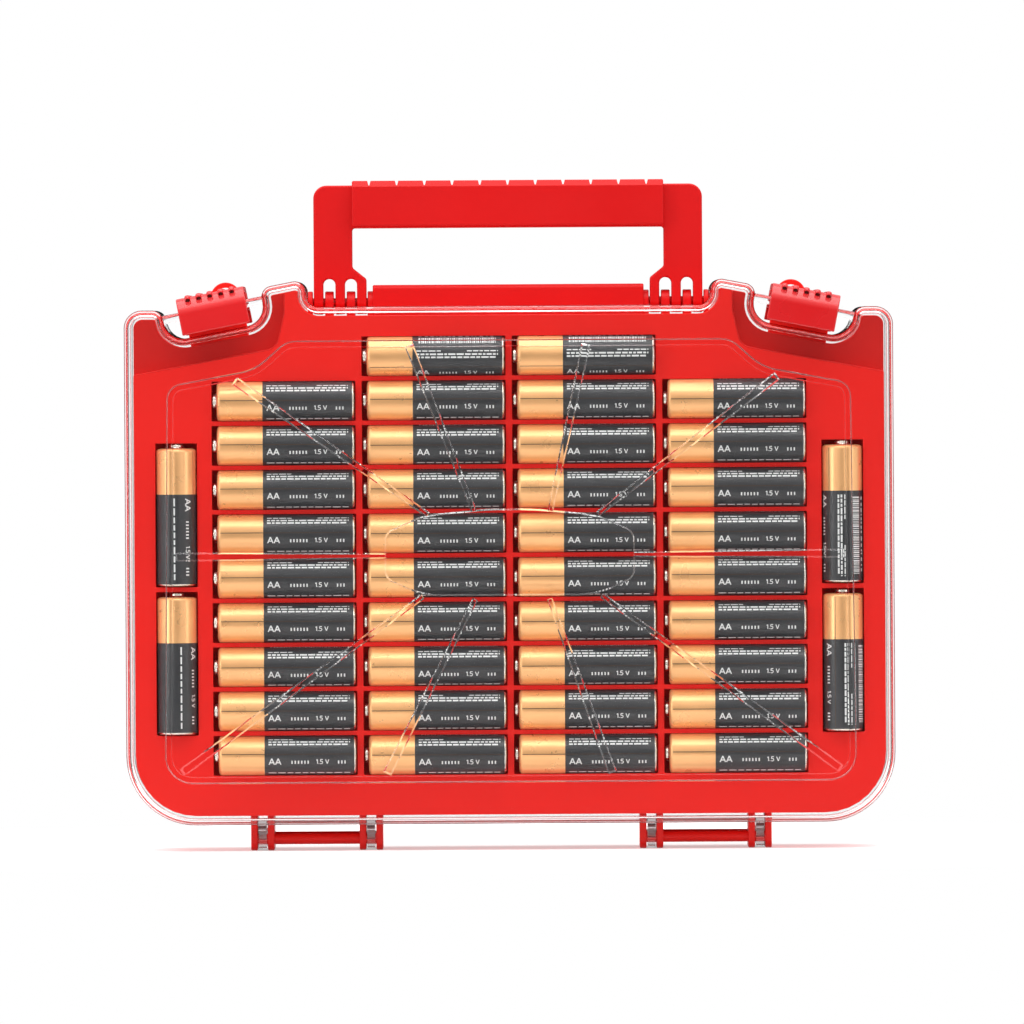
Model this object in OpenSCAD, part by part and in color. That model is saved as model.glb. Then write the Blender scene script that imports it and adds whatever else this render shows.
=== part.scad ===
// Two-sided storage case for household battery cells.
// A moulded tray holds AA cells on its back face, seen from -Y, and has empty wells for
// the larger and smaller sizes on its front face. A clear hinged lid closes each face.
// The case stands upright on its hinge cheeks: X is the width, Y the depth, Z is up.
// The tray's block, shoulders, cheeks, handle mount and catches meet face to face.

/* [AA cells] */
// Diameter of an AA cell
aa_d = 14.5; // [13.9:0.1:15]
// Length of an AA cell over its contact nub
aa_len = 50.5; // [49.5:0.1:51.5]
// Height of the contact nub
aa_nub_h = 1.3; // [1:0.1:1.6]
// Diameter of the contact nub
aa_nub_d = 5.4; // [4.8:0.1:6]
// Rows in the two inner columns
rows = 10; // [8:1:10]

/* [Cell seats] */
// Clearance round a cell in its seat
seat_gap = 0.15; // [0.1:0.05:0.25]
// Clearance at each end of a cell
seat_end_gap = 0.35; // [0.2:0.05:0.5]
// Red strip left between two columns of seats
column_web = 2.4; // [1.8:0.1:3.5]
// Space between one cell and the next in a column
row_space = 1.3; // [1:0.1:1.8]
// How far a seat wraps past the middle of its cell
seat_wrap = 2.4; // [1.6:0.1:3]
// Space between the cell block and the upright cells beside it
side_space = 4.35; // [3.5:0.05:6]
// How much deeper the upright side cells sit than the others
side_sink = 0.55; // [0.4:0.05:1.5]
// Height of the middle of the side cells over or under their common centre
side_spread = 26.5; // [26.2:0.1:30]
// Drop of the common centre of the side cells below the middle of the block
side_drop = 11.7; // [8:0.1:14]

/* [Wells on the front face] */
// Diameter of the largest round cell
d_cell_d = 34.2; // [33:0.1:35]
// Length of the largest round cell
d_cell_len = 61.5; // [60:0.1:62]
// Diameter of the middle round cell
c_cell_d = 26.2; // [25:0.1:27]
// Length of the middle round cell
c_cell_len = 50; // [48:0.1:51]
// Diameter of the thin round cell
aaa_cell_d = 10.5; // [9.8:0.1:11]
// Length of the thin round cell
aaa_cell_len = 44.5; // [43:0.1:45.5]
// Length of the block battery
block_len = 48.5; // [47:0.1:49]
// Width of the block battery
block_w = 26.5; // [25.5:0.1:27]
// Thickness of the block battery
block_t = 17.5; // [16.5:0.1:18.5]
// Clearance round a cell in its well
well_gap = 0.4; // [0.3:0.05:0.6]
// Clearance at each end of a well
well_end_gap = 0.6; // [0.4:0.05:0.8]
// Strip between two rows of wells
well_row_web = 1.9; // [1.5:0.1:2.2]
// Margin between the underside of the tray and the first row of wells
well_margin = 8.2; // [7:0.1:9]

/* [Tray] */
// Height of the cell faces over the middle plane of the case
cell_face = 31.7; // [31:0.1:33]
// Drop of the corner pads below the face of the tray
corner_step = 5.6; // [4:0.1:7]
// Height of the inner end of the corner pads' edge under the top of the lobes
pad_inner_drop = 13.7; // [12.5:0.1:15]
// Height of the outer end of that edge under the top of the lobes
pad_outer_drop = 23.9; // [22:0.1:26]
// Distance of the inner end of that edge from the side of the case
pad_inner_in = 54.2; // [52.5:0.1:55.5]

/* [Lids] */
// Wall of a clear lid
lid_wall = 1.8; // [1.5:0.1:2.2]
// Gap between the inside of a lid and the tray
lid_gap = 1.4; // [1.2:0.1:2]
// Gap between the cells and the lid over them
cell_gap = 1.7; // [1.2:0.1:2.5]
// Height of the raised panel over the rim of the lid
panel_step = 2.2; // [1.6:0.1:2.4]
// Height of the ridges and the badge plate over the raised panel
ridge_h = 0.8; // [0.5:0.1:1.2]
// Space between the side cells and the side of the case
side_margin = 11.05; // [10:0.05:14]
// Space between the bottom row of cells and the lower edge of the lids
bottom_margin = 16.8; // [15:0.1:20]
// Height of the outer lobes over the top row of cells
lobe_rise = 8.9; // [8:0.1:12]
// Height of the floor of the handle recess over the top row of cells
recess_rise = 9.9; // [8.5:0.1:11]
// Radius of the lower corners
bottom_r = 25; // [18:0.5:30]
// Radius of the outer lobes
lobe_r = 6.4; // [5.5:0.1:6.6]
// Radius of the lobes on the side of the notches
lobe_in_r = 4.2; // [3.4:0.1:4.4]
// Radius of the edge round the rim of a lid
rim_r = 2.2; // [1.2:0.1:2.6]
// Distance from the middle plane to the open edge of a lid
skirt_y = 16; // [15:0.1:18]
// Distance of the raised panel from the side of the case
panel_in = 13.7; // [12:0.1:15]
// Distance of the raised panel from the lower edge of the case
panel_up = 14.8; // [13:0.1:16]
// Radius of the lower corners of the raised panel
panel_r = 10; // [8:0.5:14]
// Width of the slope round the raised panel
panel_slope = 2.6; // [1.8:0.1:3]
// Width of a ridge at its outer end
ridge_w = 3.2; // [2.4:0.1:4]
// Width of a ridge where it meets the badge plate
ridge_end_w = 1.8; // [1.2:0.1:2.4]
// Width of the bare badge plate
badge_w = 90; // [70:1:100]
// Height of the badge plate at its middle
badge_h = 34; // [28:0.5:38]
// Height of the straight ends of the badge plate
badge_end_h = 13; // [8:0.5:16]

/* [Latches] */
// Tilt of the latches and of the top edge beside them
tilt = 11; // [8:0.5:13]
// Distance of the middle of a latch from the side of the case
latch_in = 31.7; // [31:0.1:32.5]
// Half the width of the notch that a latch sits in
notch_half = 17.9; // [17:0.1:18.3]
// Depth of the notch under the middle of the latch
notch_depth = 8; // [7.8:0.1:9]
// Radius of the notch corners
notch_r = 7; // [5:0.1:7.5]
// Width of a latch
latch_w = 24.5; // [23:0.1:26]
// Height of the top of a latch over its pins
latch_top = 6.3; // [5.8:0.1:6.8]
// Length of the thumb tab under the pins
latch_tab = 6.9; // [6:0.1:6.9]
// Distance from the pins to the front of the latch
latch_front = 3.2; // [3:0.1:3.3]
// Thickness of the latch plate
latch_t = 2.1; // [1.8:0.1:2.4]
// Diameter of the clear pins that carry a latch
latch_pin_d = 3; // [2.6:0.1:3.2]
// Running clearance of a latch on its pins, on the radius
latch_fit = 0.08; // [0.05:0.01:0.1]
// Height of the thumb ridges on a latch
thumb_h = 0.7; // [0.4:0.1:0.8]
// Pitch of the thumb ridges
thumb_pitch = 4; // [3.6:0.1:4.4]
// Clearance between the lip of a latch and the catch under it
catch_gap = 0.35; // [0.3:0.05:0.6]
// Width of the catch block
catch_w = 21; // [18:0.5:22]
// Outer diameter of the lock eye on the catch block
eye_d = 10.8; // [10:0.1:11]
// Hole of the lock eye
eye_hole = 7; // [6:0.1:7.4]
// Thickness of the lock eye
eye_t = 2.4; // [2:0.1:2.6]

/* [Lid hinges] */
// Distance of a hinge from the middle of the case
hinge_x = 69.5; // [64:0.5:76]
// Width of a hinge over its outer cheeks
hinge_w = 47.2; // [44:0.1:52]
// Thickness of a hinge cheek
cheek_t = 2.4; // [2:0.1:2.8]
// Width of a lid's lug
lug_w = 2.9; // [2.4:0.1:3.4]
// Gap on each side of a lug
lug_gap = 0.35; // [0.3:0.05:0.5]
// Diameter of a hinge rod
rod_d = 3.9; // [3.4:0.1:4.1]
// Height of the hinge rods over the ground
rod_z = 4.1; // [3.9:0.1:4.6]
// Distance of a hinge rod from the open edge of its lid
rod_in = 4; // [3.6:0.1:4.6]
// Clearance of a lug on its rod, on the radius
lug_fit = 0.08; // [0.05:0.01:0.1]
// Outer diameter of a lug round the rod
lug_d = 6.8; // [6.4:0.1:7]
// Height of the lower edge of the lids over the ground
foot_h = 9.6; // [9.2:0.1:11]

/* [Handle] */
// Half the width of the handle
handle_half = 69.6; // [66:0.1:72]
// Width of a leg of the handle
leg_w = 13.9; // [12:0.1:15]
// Width of a foot of the handle
foot_w = 18.9; // [18:0.1:20]
// Width of a slot in a foot
slot_w = 4.3; // [4:0.1:4.6]
// Gap between a knuckle of the tray and the side of its slot
knuckle_gap = 0.6; // [0.4:0.05:0.8]
// Height of the pivot over the floor of the handle recess
pivot_rise = 1.5; // [1.3:0.1:2.2]
// Height of the grip over the pivot
grip_rise = 43.5; // [41:0.5:48]
// Height of the grip section
grip_h = 17; // [15:0.5:18]
// Thickness of the grip section
grip_t = 15; // [12:0.5:15.5]
// Thickness of the legs
leg_t = 8.4; // [7.6:0.1:8.6]
// Drop of the top of the legs below the grip
leg_drop = 1.6; // [1:0.1:2.5]
// Radius of the outer top corners of the handle
handle_r = 4.7; // [3:0.1:7]
// Number of notches along the top of the grip
notches = 11; // [5:2:11]
// Pitch of the notches
notch_pitch = 9.93; // [8.5:0.01:10]
// Width of a notch at its mouth
notch_w = 2.2; // [1.4:0.1:3]
// Depth of a notch
notch_deep = 1.6; // [1:0.1:2]
// Diameter of the handle pins
pin_d = 3.2; // [2.8:0.1:3.6]
// Running clearance of the handle on its pins, on the radius
pin_fit = 0.08; // [0.05:0.01:0.1]
// Height of the tray's middle bar over the floor of the handle recess
bar_rise = 7.7; // [6:0.1:8]
// Thickness of the middle bar
bar_t = 9; // [8:0.5:10]

/* [Hidden] */
$fn = 72;
RED = "#d8191c";
DEEP_RED = "#c4161a";
CLEAR = [0.86, 0.92, 0.95, 0.3];
SLEEVE = "#34332f";
clear = 0.35;      // gap between pieces that move past each other
tight = 0.02;      // radial gap of a pin that is pressed in
join = 1;          // how far a form runs into the one that it grows from
lip_t = 2;         // thickness of the latch lip along Y
catch_t = 12;      // thickness of the catch block along Y
bead_r = 0.8;      // radius of the two beads on top of the catch block
bead_y = 4.9;      // distance of a bead from the middle plane
eye_u = -5;        // place of the lock eye along the catch block
eye_rise = 2.9;    // height of the middle of the lock eye over the catch block
rib_w = 1.6;       // width of a thumb ridge on a latch
rib_out = 0.6;     // how far the thumb ridges stand out in front
rib_foot = 0.4;    // distance from the latch pins down to the foot of the thumb ridges
barrel_back = 3.1; // distance from the latch pins to the rear of the barrel round them
barrel_low = 2.4;  // distance from the latch pins to the underside of that barrel
pin_in = 4;        // how far a handle pin reaches into the middle bar
foot_rise = 8.4;   // height of the straight part of a foot over the handle pivot
foot_flare = 4;    // height over which a foot narrows to the leg
arc_step = 12;     // largest angle of one chord in a rounded corner

// Places that follow from the cells
column_pitch = aa_len + 2 * seat_end_gap + column_web;
row_pitch = aa_d + row_space;
seat_r = aa_d / 2 + seat_gap;
seat_len = aa_len + 2 * seat_end_gap;
columns = 4;
lid_z = foot_h;
block_z = lid_z + bottom_margin + rows * row_pitch / 2;
block_top = block_z + rows * row_pitch / 2;
side_x = columns / 2 * column_pitch + side_space + aa_d / 2;
half_w = side_x + aa_d / 2 + side_margin;
side_z = block_z - side_drop;

// Planes along the depth, each measured from the middle plane
aa_y = cell_face - aa_d / 2;
side_y = aa_y - side_sink;
face_y = aa_y + seat_wrap;
pad_y = face_y - corner_step;
panel_y = cell_face + cell_gap + lid_wall;
rim_y = panel_y - panel_step;
half_d = panel_y + ridge_h;
rod_y = skirt_y - rod_in;
cheek_y = skirt_y - 2 * clear;

// Top edge of the case
lobe_z = block_top + lobe_rise;
recess_z = block_top + recess_rise;
latch_x = half_w - latch_in;
latch_z = lobe_z;
shoulder_v = 4.4;                     // height of the shoulder over the pins, along the tilt
recess_x = handle_half + 2.5;
tray_inset = lid_wall + lid_gap;
tray_z = lid_z + tray_inset;
tray_top = recess_z - tray_inset;
pivot_z = recess_z + pivot_rise;
rod_r = rod_d / 2;
latch_pin_y = rim_y - latch_front + 0.2;
lip_y = eye_t / 2 + clear;            // rear end of a latch, from the middle plane
lip_v = latch_top - latch_t - 2.3;    // underside of the latch lip
catch_v = lip_v - catch_gap - bead_r; // top of the catch block, along the tilt
catch_low = -notch_depth - tray_inset;
roll_r = latch_top - 0.3;             // radius of the roll along the top of a latch
knuckle_w = slot_w - 2 * knuckle_gap;
finger_w = (foot_w - 2 * slot_w) / 3;
foot_in = handle_half - foot_w;       // inner face of a foot
hub_w = 1.85;                         // width of the hubs that end the middle bar
bar_half = foot_in - clear - hub_w;
barrel_r = leg_t / 2;

// Round cells of the front face, as [length, width, depth under the cell face]
d_well = [d_cell_len + 2 * well_end_gap, d_cell_d + 2 * well_gap, d_cell_d];
c_well = [c_cell_len + 2 * well_end_gap, c_cell_d + 2 * well_gap, c_cell_d];
aaa_well = [aaa_cell_len + 2 * well_end_gap, aaa_cell_d + 2 * well_gap, aaa_cell_d];
block_well = [block_len + 2 * well_end_gap, block_w + 2 * well_gap, block_t];
wells_w = 2 * d_well.x + 2 * c_well.x + 3 * column_web;
wells_z = tray_z + well_margin;
aaa_rows = 3;
band_h = aaa_rows * (aaa_well.y + well_row_web);
rows_h = tray_top - column_web - band_h - wells_z;
d_rows = floor(rows_h / (d_well.y + well_row_web));
c_rows = floor(rows_h / (c_well.y + well_row_web));
band_z = wells_z + column_web
    + max(d_rows * (d_well.y + well_row_web), c_rows * (c_well.y + well_row_web));

// The tray's shoulders rise over the second row of cells, outside the thin wells
shoulder_x = 1.5 * aaa_well.x + column_web + join;
shoulder_z = block_top - row_pitch;

// Outline tools. A corner is [x, y, radius], corners run anticlockwise, and each one
// becomes an arc. An inset moves every edge inwards and keeps the number of points.
function unit(v) = v / norm(v);
function left_of(a, b) = let (u = unit(b - a)) [-u.y, u.x];
function turn(a, b, c) =
    let (p = b - a, q = c - b) atan2(p.x * q.y - p.y * q.x, p * q);
function inset_corner(a, b, c, d) =
    let (m = left_of(a, b), n = left_of(b, c)) b + d * (m + n) / (1 + m * n);
function arc(a, b, c, r) =
    let (t = turn(a, b, c),
         n = max(1, ceil(abs(t) / arc_step)),
         start = b - unit(b - a) * r * tan(abs(t) / 2),
         centre = start + sign(t) * r * left_of(a, b),
         from = atan2(start.y - centre.y, start.x - centre.x))
    [for (i = [0 : n]) centre + r * [cos(from + t * i / n), sin(from + t * i / n)]];
function rounded(corners, inset = 0) =
    let (n = len(corners),
         p = [for (c = corners) [c.x, c.y]],
         q = [for (i = [0 : n - 1])
              inset_corner(p[(i + n - 1) % n], p[i], p[(i + 1) % n], inset)])
    [for (i = [0 : n - 1])
        let (a = q[(i + n - 1) % n], b = q[i], c = q[(i + 1) % n],
             r = max(0.05, corners[i].z - sign(turn(a, b, c)) * inset))
        each arc(a, b, c, r)];
function both_sides(half) =
    concat(half, [for (i = [len(half) - 1 : -1 : 0]) [-half[i].x, half[i].y, half[i].z]]);

// A point in the tilted frame of the right-hand latch: u outwards, v upwards
function at_latch(u, v) =
    [latch_x + u * cos(tilt) + v * sin(tilt), latch_z - u * sin(tilt) + v * cos(tilt)];
function shoulder_u(x) = (x - latch_x - shoulder_v * sin(tilt)) / cos(tilt);

LID_OUTLINE = both_sides([
    [half_w, lid_z, bottom_r],
    [half_w, lobe_z, lobe_r],
    concat(at_latch(notch_half, notch_half * tan(tilt)), lobe_in_r),
    concat(at_latch(notch_half, -notch_depth), notch_r),
    concat(at_latch(-notch_half, -notch_depth), notch_r),
    concat(at_latch(-notch_half, shoulder_v), 4),
    concat(at_latch(shoulder_u(recess_x), shoulder_v), 4),
    [recess_x, recess_z, 4.5]]);

// Raised panel: its top steps down in an S towards the latches
panel_x = half_w - panel_in;
panel_top = recess_z - 13;
PANEL_OUTLINE = both_sides([
    [panel_x, lid_z + panel_up, panel_r],
    [panel_x - 1.4, lobe_z - 27.6, 4.5],
    [half_w - 46.6, lobe_z - 21.2, 18],
    [recess_x + 7, panel_top, 9]]);

// Edge of the recessed pad beside each latch, on the right-hand side
PAD_OUTLINE = [
    [half_w + join, lobe_z - pad_outer_drop, 0],
    [half_w + join, lobe_z + 30, 0],
    [half_w - pad_inner_in - 2.9, lobe_z + 30, 0],
    [half_w - pad_inner_in - 2.9, lobe_z - 1, 2],
    [half_w - pad_inner_in, lobe_z - pad_inner_drop, 5]];

BADGE_OUTLINE = both_sides([
    [badge_w / 2 - 14, block_z - badge_h / 2 + 2.2, 30],
    [badge_w / 2, block_z - badge_end_h / 2 - 2, 5],
    [badge_w / 2, block_z + badge_end_h / 2 + 2, 5],
    [badge_w / 2 - 14, block_z + badge_h / 2 - 2.2, 30],
    [8, block_z + badge_h / 2, 60]]);

// Ridges on the panel as [outer x, outer z, inner x, inner z]
badge_top = block_z + badge_h / 2 - 1.5;
badge_low = block_z - badge_h / 2 + 1.5;
panel_low = lid_z + panel_up + 4.6;
RIDGES = [
    [-(half_w - 40), lobe_z - 25.6, -29, badge_top - 1],
    [half_w - 42, lobe_z - 25, 31.5, badge_top - 1],
    [-35.2, panel_top - 2.6, -12.5, badge_top],
    [27.5, panel_top - 2.6, 14.5, badge_top],
    [-(half_w - 20.5), panel_low, -31, badge_low + 1],
    [half_w - 20, panel_low, 32.7, badge_low + 1],
    [-43.8, panel_low - 0.6, -12.3, badge_low],
    [35.9, panel_low - 0.6, 14.1, badge_low],
    [-(panel_x - 5), block_z, -badge_w / 2 + join, block_z],
    [panel_x - 5, block_z, badge_w / 2 - join, block_z]];

// Cells by column and row, and the four upright ones by side and level
COLUMN_NAMES = ["a", "b", "c", "d"];
CELLS = [for (c = [0 : columns - 1])
    for (r = [(c == 0 || c == columns - 1) ? 1 : 0 : rows - 1]) [c, r]];
SIDE_CELLS = [for (s = [-1, 1]) for (l = [-1, 1]) [s, l]];
function cell_name(c) = str("aa_cell_", COLUMN_NAMES[c.x], c.y < 9 ? "0" : "", c.y + 1);
function side_cell_name(s) =
    str("aa_cell_", s.x < 0 ? "left" : "right", s.y < 0 ? "_lower" : "_upper");
function cell_x(c) = (c.x - (columns - 1) / 2) * column_pitch;
function cell_z(c) = block_z + ((rows - 1) / 2 - c.y) * row_pitch;

// A flat outline in X and Z, given its two Y faces
module slab(points, y0, y1) {
    translate([0, y1, 0]) rotate([90, 0, 0])
        linear_extrude(height = y1 - y0) polygon(points);
}

// A profile in Y and Z, given its two X faces
module bar_x(points, x0, x1) {
    translate([x0, 0, 0]) rotate([90, 0, 90])
        linear_extrude(height = x1 - x0) polygon(points);
}

// A round bar along X
module round_x(r, x0, x1, y, z) {
    translate([x0, y, z]) rotate([0, 90, 0]) cylinder(r = r, h = x1 - x0);
}

// A closed shell through outlines of one size class: each ring is [outline, y]
module loft(rings) {
    n = len(rings[0][0]);
    m = len(rings);
    points = [for (g = rings) for (p = g[0]) [p.x, g[1], p.y]];
    sides = [for (k = [0 : m - 2]) for (i = [0 : n - 1])
        let (j = (i + 1) % n) [k * n + i, (k + 1) * n + i, (k + 1) * n + j, k * n + j]];
    near = [for (i = [0 : n - 1]) i];
    far = [for (i = [n - 1 : -1 : 0]) (m - 1) * n + i];
    polyhedron(points, concat(sides, [near], [far]), convexity = 10);
}

// The tilted frame of a latch, on the right (side 1) or the left (side -1)
module latch_frame(side) {
    mirror([side < 0 ? 1 : 0, 0, 0])
        translate([latch_x, 0, latch_z]) rotate([0, tilt, 0]) children();
}

module front_half_turn(front) {
    rotate([0, 0, front ? 180 : 0]) children();
}

// One AA cell along Z with its nub up: steel can, sleeve and contact nub
module aa_cell() {
    r = aa_d / 2;
    body = aa_len - aa_nub_h;
    color(SLEEVE) rotate_extrude() polygon([
        [0, 0.2], [r - 1.9, 0.2], [r - 1.5, 0], [r - 0.7, 0], [r - 0.15, 0.5],
        [r, 1.1], [r, body - 1.6], [r - 0.25, body - 0.8], [r - 1.1, body - 0.2],
        [r - 1.7, body], [aa_nub_d / 2 + 0.9, body], [aa_nub_d / 2 + 0.2, body + 0.15],
        [aa_nub_d / 2, body + 0.4], [aa_nub_d / 2, aa_len - 0.35],
        [aa_nub_d / 2 - 0.4, aa_len], [0, aa_len]]);
}

module lying_cell(c) {
    translate([cell_x(c) + aa_len / 2, -aa_y, cell_z(c)]) rotate([0, -90, 0]) aa_cell();
}

module upright_cell(s) {
    translate([s.x * side_x, -side_y, side_z + s.y * side_spread - aa_len / 2]) aa_cell();
}

// Cutters for the seats of the back face
module back_seats() {
    for (c = CELLS)
        round_x(seat_r, cell_x(c) - seat_len / 2, cell_x(c) + seat_len / 2, -aa_y, cell_z(c));
    for (s = SIDE_CELLS) translate([s.x * side_x, -side_y, side_z + s.y * side_spread]) {
        cylinder(r = seat_r, h = seat_len, center = true);
        translate([-seat_r, -aa_d, -seat_len / 2]) cube([2 * seat_r, aa_d, seat_len]);
    }
}

// Cutter for one round well of the front face, with a half-round floor
module round_well(size, x, z) {
    y = cell_face - size[2] / 2;
    round_x(size.y / 2, x - size.x / 2, x + size.x / 2, y, z);
    translate([x - size.x / 2, y, z - size.y / 2]) cube([size.x, face_y + join - y, size.y]);
}

module front_wells() {
    left = -wells_w / 2;
    for (i = [0, 1]) {
        for (j = [0 : d_rows - 1]) round_well(d_well,
            left + d_well.x / 2 + i * (d_well.x + column_web),
            wells_z + d_well.y / 2 + j * (d_well.y + well_row_web));
        for (j = [0 : c_rows - 1]) round_well(c_well,
            left + 2 * (d_well.x + column_web) + c_well.x / 2 + i * (c_well.x + column_web),
            wells_z + c_well.y / 2 + j * (c_well.y + well_row_web));
    }
    for (i = [-1 : 1]) for (j = [0 : 2]) round_well(aaa_well,
        i * (aaa_well.x + column_web),
        band_z + aaa_well.y / 2 + j * (aaa_well.y + well_row_web));
    for (side = [-1, 1])
        translate([side * (wells_w / 2 - block_well.x / 2) - block_well.x / 2,
                   cell_face - block_t, band_z])
            cube([block_well.x, block_t, block_well.y]);
}

// Outer form of the tray, which the forms that stand on it are cut to
module tray_form() {
    slab(rounded(LID_OUTLINE, tray_inset), -face_y, face_y);
}

// Tray without what stands on it: a solid outline with its pads, seats and wells
module moulding() {
    difference() {
        tray_form();
        for (s = [-1, 1]) for (f = [-1, 1]) mirror([s < 0 ? 1 : 0, 0, 0])
            slab(rounded(PAD_OUTLINE), f < 0 ? -face_y - join : pad_y,
                 f < 0 ? -pad_y : face_y + join);
        back_seats();
        front_wells();
    }
}

// Space of the two shoulders that stand up beside the handle recess
module shoulder_space() {
    for (s = [-1, 1])
        translate([min(s * shoulder_x, s * half_w), -half_d, shoulder_z])
            cube([half_w - shoulder_x, 2 * half_d, lobe_z]);
}

module tray() {
    color(RED) difference() {
        moulding();
        shoulder_space();
    }
}

module tray_shoulders() {
    color(RED) intersection() {
        moulding();
        shoulder_space();
    }
}

// Cheeks under the tray that carry the hinge rods
module hinge_cheeks() {
    profile = rounded(both_sides([[cheek_y, 0, 3], [cheek_y, tray_z, 0.2]]));
    step = cheek_t + lug_w + 2 * lug_gap;
    color(RED) difference() {
        for (h = [-1, 1]) for (s = [-1, 1]) for (k = [0, 1]) {
            outer = h * hinge_x + s * (hinge_w / 2 - k * step);
            inner = outer - s * cheek_t;
            bar_x(profile, min(outer, inner), max(outer, inner));
        }
        for (h = [-1, 1]) for (f = [-1, 1])
            round_x(rod_r + tight, h * hinge_x - hinge_w / 2 - join,
                h * hinge_x + hinge_w / 2 + join, f * rod_y, rod_z);
    }
}

// Middle bar and knuckles on top of the tray that carry the handle
module handle_mount() {
    bar = both_sides([[bar_t / 2, tray_top, 0.2], [bar_t / 2, recess_z + bar_rise, 2]]);
    color(RED) difference() {
        union() {
            bar_x(rounded(bar), -bar_half, bar_half);
            for (s = [-1, 1]) mirror([s < 0 ? 1 : 0, 0, 0]) {
                knuckle(bar_half - join, bar_half + hub_w);
                knuckle(handle_half + clear, recess_x - clear);
                for (k = [0, 1]) {
                    x = foot_in + finger_w + knuckle_gap + k * (finger_w + slot_w);
                    knuckle(x, x + knuckle_w);
                }
            }
        }
        for (s = [-1, 1]) mirror([s < 0 ? 1 : 0, 0, 0])
            round_x(pin_d / 2 + tight, bar_half - pin_in - 0.5, recess_x, 0, pivot_z);
        tray_form();
    }
}

module knuckle(x0, x1) {
    r = barrel_r - clear / 2;
    round_x(r, x0, x1, 0, pivot_z);
    translate([x0, -r, tray_top]) cube([x1 - x0, 2 * r, pivot_z - tray_top]);
}

// Catch blocks that the latches snap over, on the floor of each notch
module latch_catches() {
    color(RED) difference() {
        for (s = [-1, 1]) latch_frame(s) {
            translate([-catch_w / 2, -catch_t / 2, catch_low])
                cube([catch_w, catch_t, catch_v - catch_low]);
            for (f = [-1, 1]) round_x(bead_r, -catch_w / 2, catch_w / 2, f * bead_y, catch_v);
            lock_eye();
        }
        tray_form();
    }
}

// Arch on a catch block that a padlock goes through
module lock_eye() {
    difference() {
        translate([eye_u, 0, catch_v + eye_rise]) rotate([90, 0, 0]) difference() {
            union() {
                cylinder(d = eye_d, h = eye_t, center = true);
                translate([-eye_d / 2, -eye_rise, -eye_t / 2]) cube([eye_d, eye_rise, eye_t]);
            }
            cylinder(d = eye_hole, h = 2 * eye_t, center = true);
        }
        translate([-catch_w, -catch_t, catch_low])
            cube([2 * catch_w, 2 * catch_t, catch_v - catch_low]);
    }
}

// Lug that carries the lid on its hinge rod
module lug(x) {
    r = lug_d / 2;
    top = lid_z + lid_wall;
    profile = rounded([
        [-rod_y - 0.7 * r, rod_z - 0.6 * r, 0.3], [-rod_y + r, rod_z, 0.3],
        [-rod_y + r, rod_z + 0.9 * r, 1.5], [-rod_y + 1, top, 1.5],
        [-skirt_y - 9, top, 0.3], [-skirt_y - 8, lid_z + 0.2, 0.3]]);
    difference() {
        union() {
            bar_x(profile, x - lug_w / 2, x + lug_w / 2);
            round_x(r, x - lug_w / 2, x + lug_w / 2, -rod_y, rod_z);
        }
        round_x(rod_r + lug_fit, x - lug_w, x + lug_w, -rod_y, rod_z);
    }
}

// A straight ridge on the panel, wide at its outer end and narrow at its inner end
module ridge(g) {
    a = [g[0], g[1]];
    b = [g[2], g[3]];
    n = left_of(a, b);
    slab([a + n * ridge_w / 2, a - n * ridge_w / 2, b - n * ridge_end_w / 2,
          b + n * ridge_end_w / 2], -half_d, -panel_y + join / 2);
}

// Raised part of a lid, or of the hollow under it: its sides slope in from a low plane
module raised(inset, low_y, high_y) {
    run = panel_slope / panel_step;
    loft([[rounded(PANEL_OUTLINE, inset - run * join), -low_y + join],
          [rounded(PANEL_OUTLINE, inset + panel_slope), -high_y]]);
}

// Outer form of a lid: the edge round its rim is stepped in thin layers
module lid_form() {
    for (a = [0 : 30 : 90])
        slab(rounded(LID_OUTLINE, rim_r * (1 - cos(a))), rim_r * (1 - sin(a)) - rim_y,
            -skirt_y);
    raised(0, rim_y, panel_y);
    slab(rounded(BADGE_OUTLINE), -half_d, join / 2 - panel_y);
    for (g = RIDGES) ridge(g);
}

// One clear lid, drawn over the back face
module lid() {
    pin_end = latch_w / 2 - 2.8;
    lug_x = hinge_w / 2 - cheek_t - lug_gap - lug_w / 2;
    color(CLEAR) {
        difference() {
            lid_form();
            slab(rounded(LID_OUTLINE, lid_wall), lid_wall - rim_y, 0);
            raised(lid_wall * 0.6, rim_y - lid_wall, panel_y - lid_wall);
        }
        for (s = [-1, 1]) {
            for (k = [-1, 1]) lug(s * hinge_x + k * lug_x);
            latch_frame(s) for (k = [-1, 1])
                round_x(latch_pin_d / 2, k < 0 ? -notch_half - lid_wall / 2 : pin_end,
                    k < 0 ? -pin_end : notch_half + lid_wall / 2, -latch_pin_y, 0);
        }
    }
}

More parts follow.
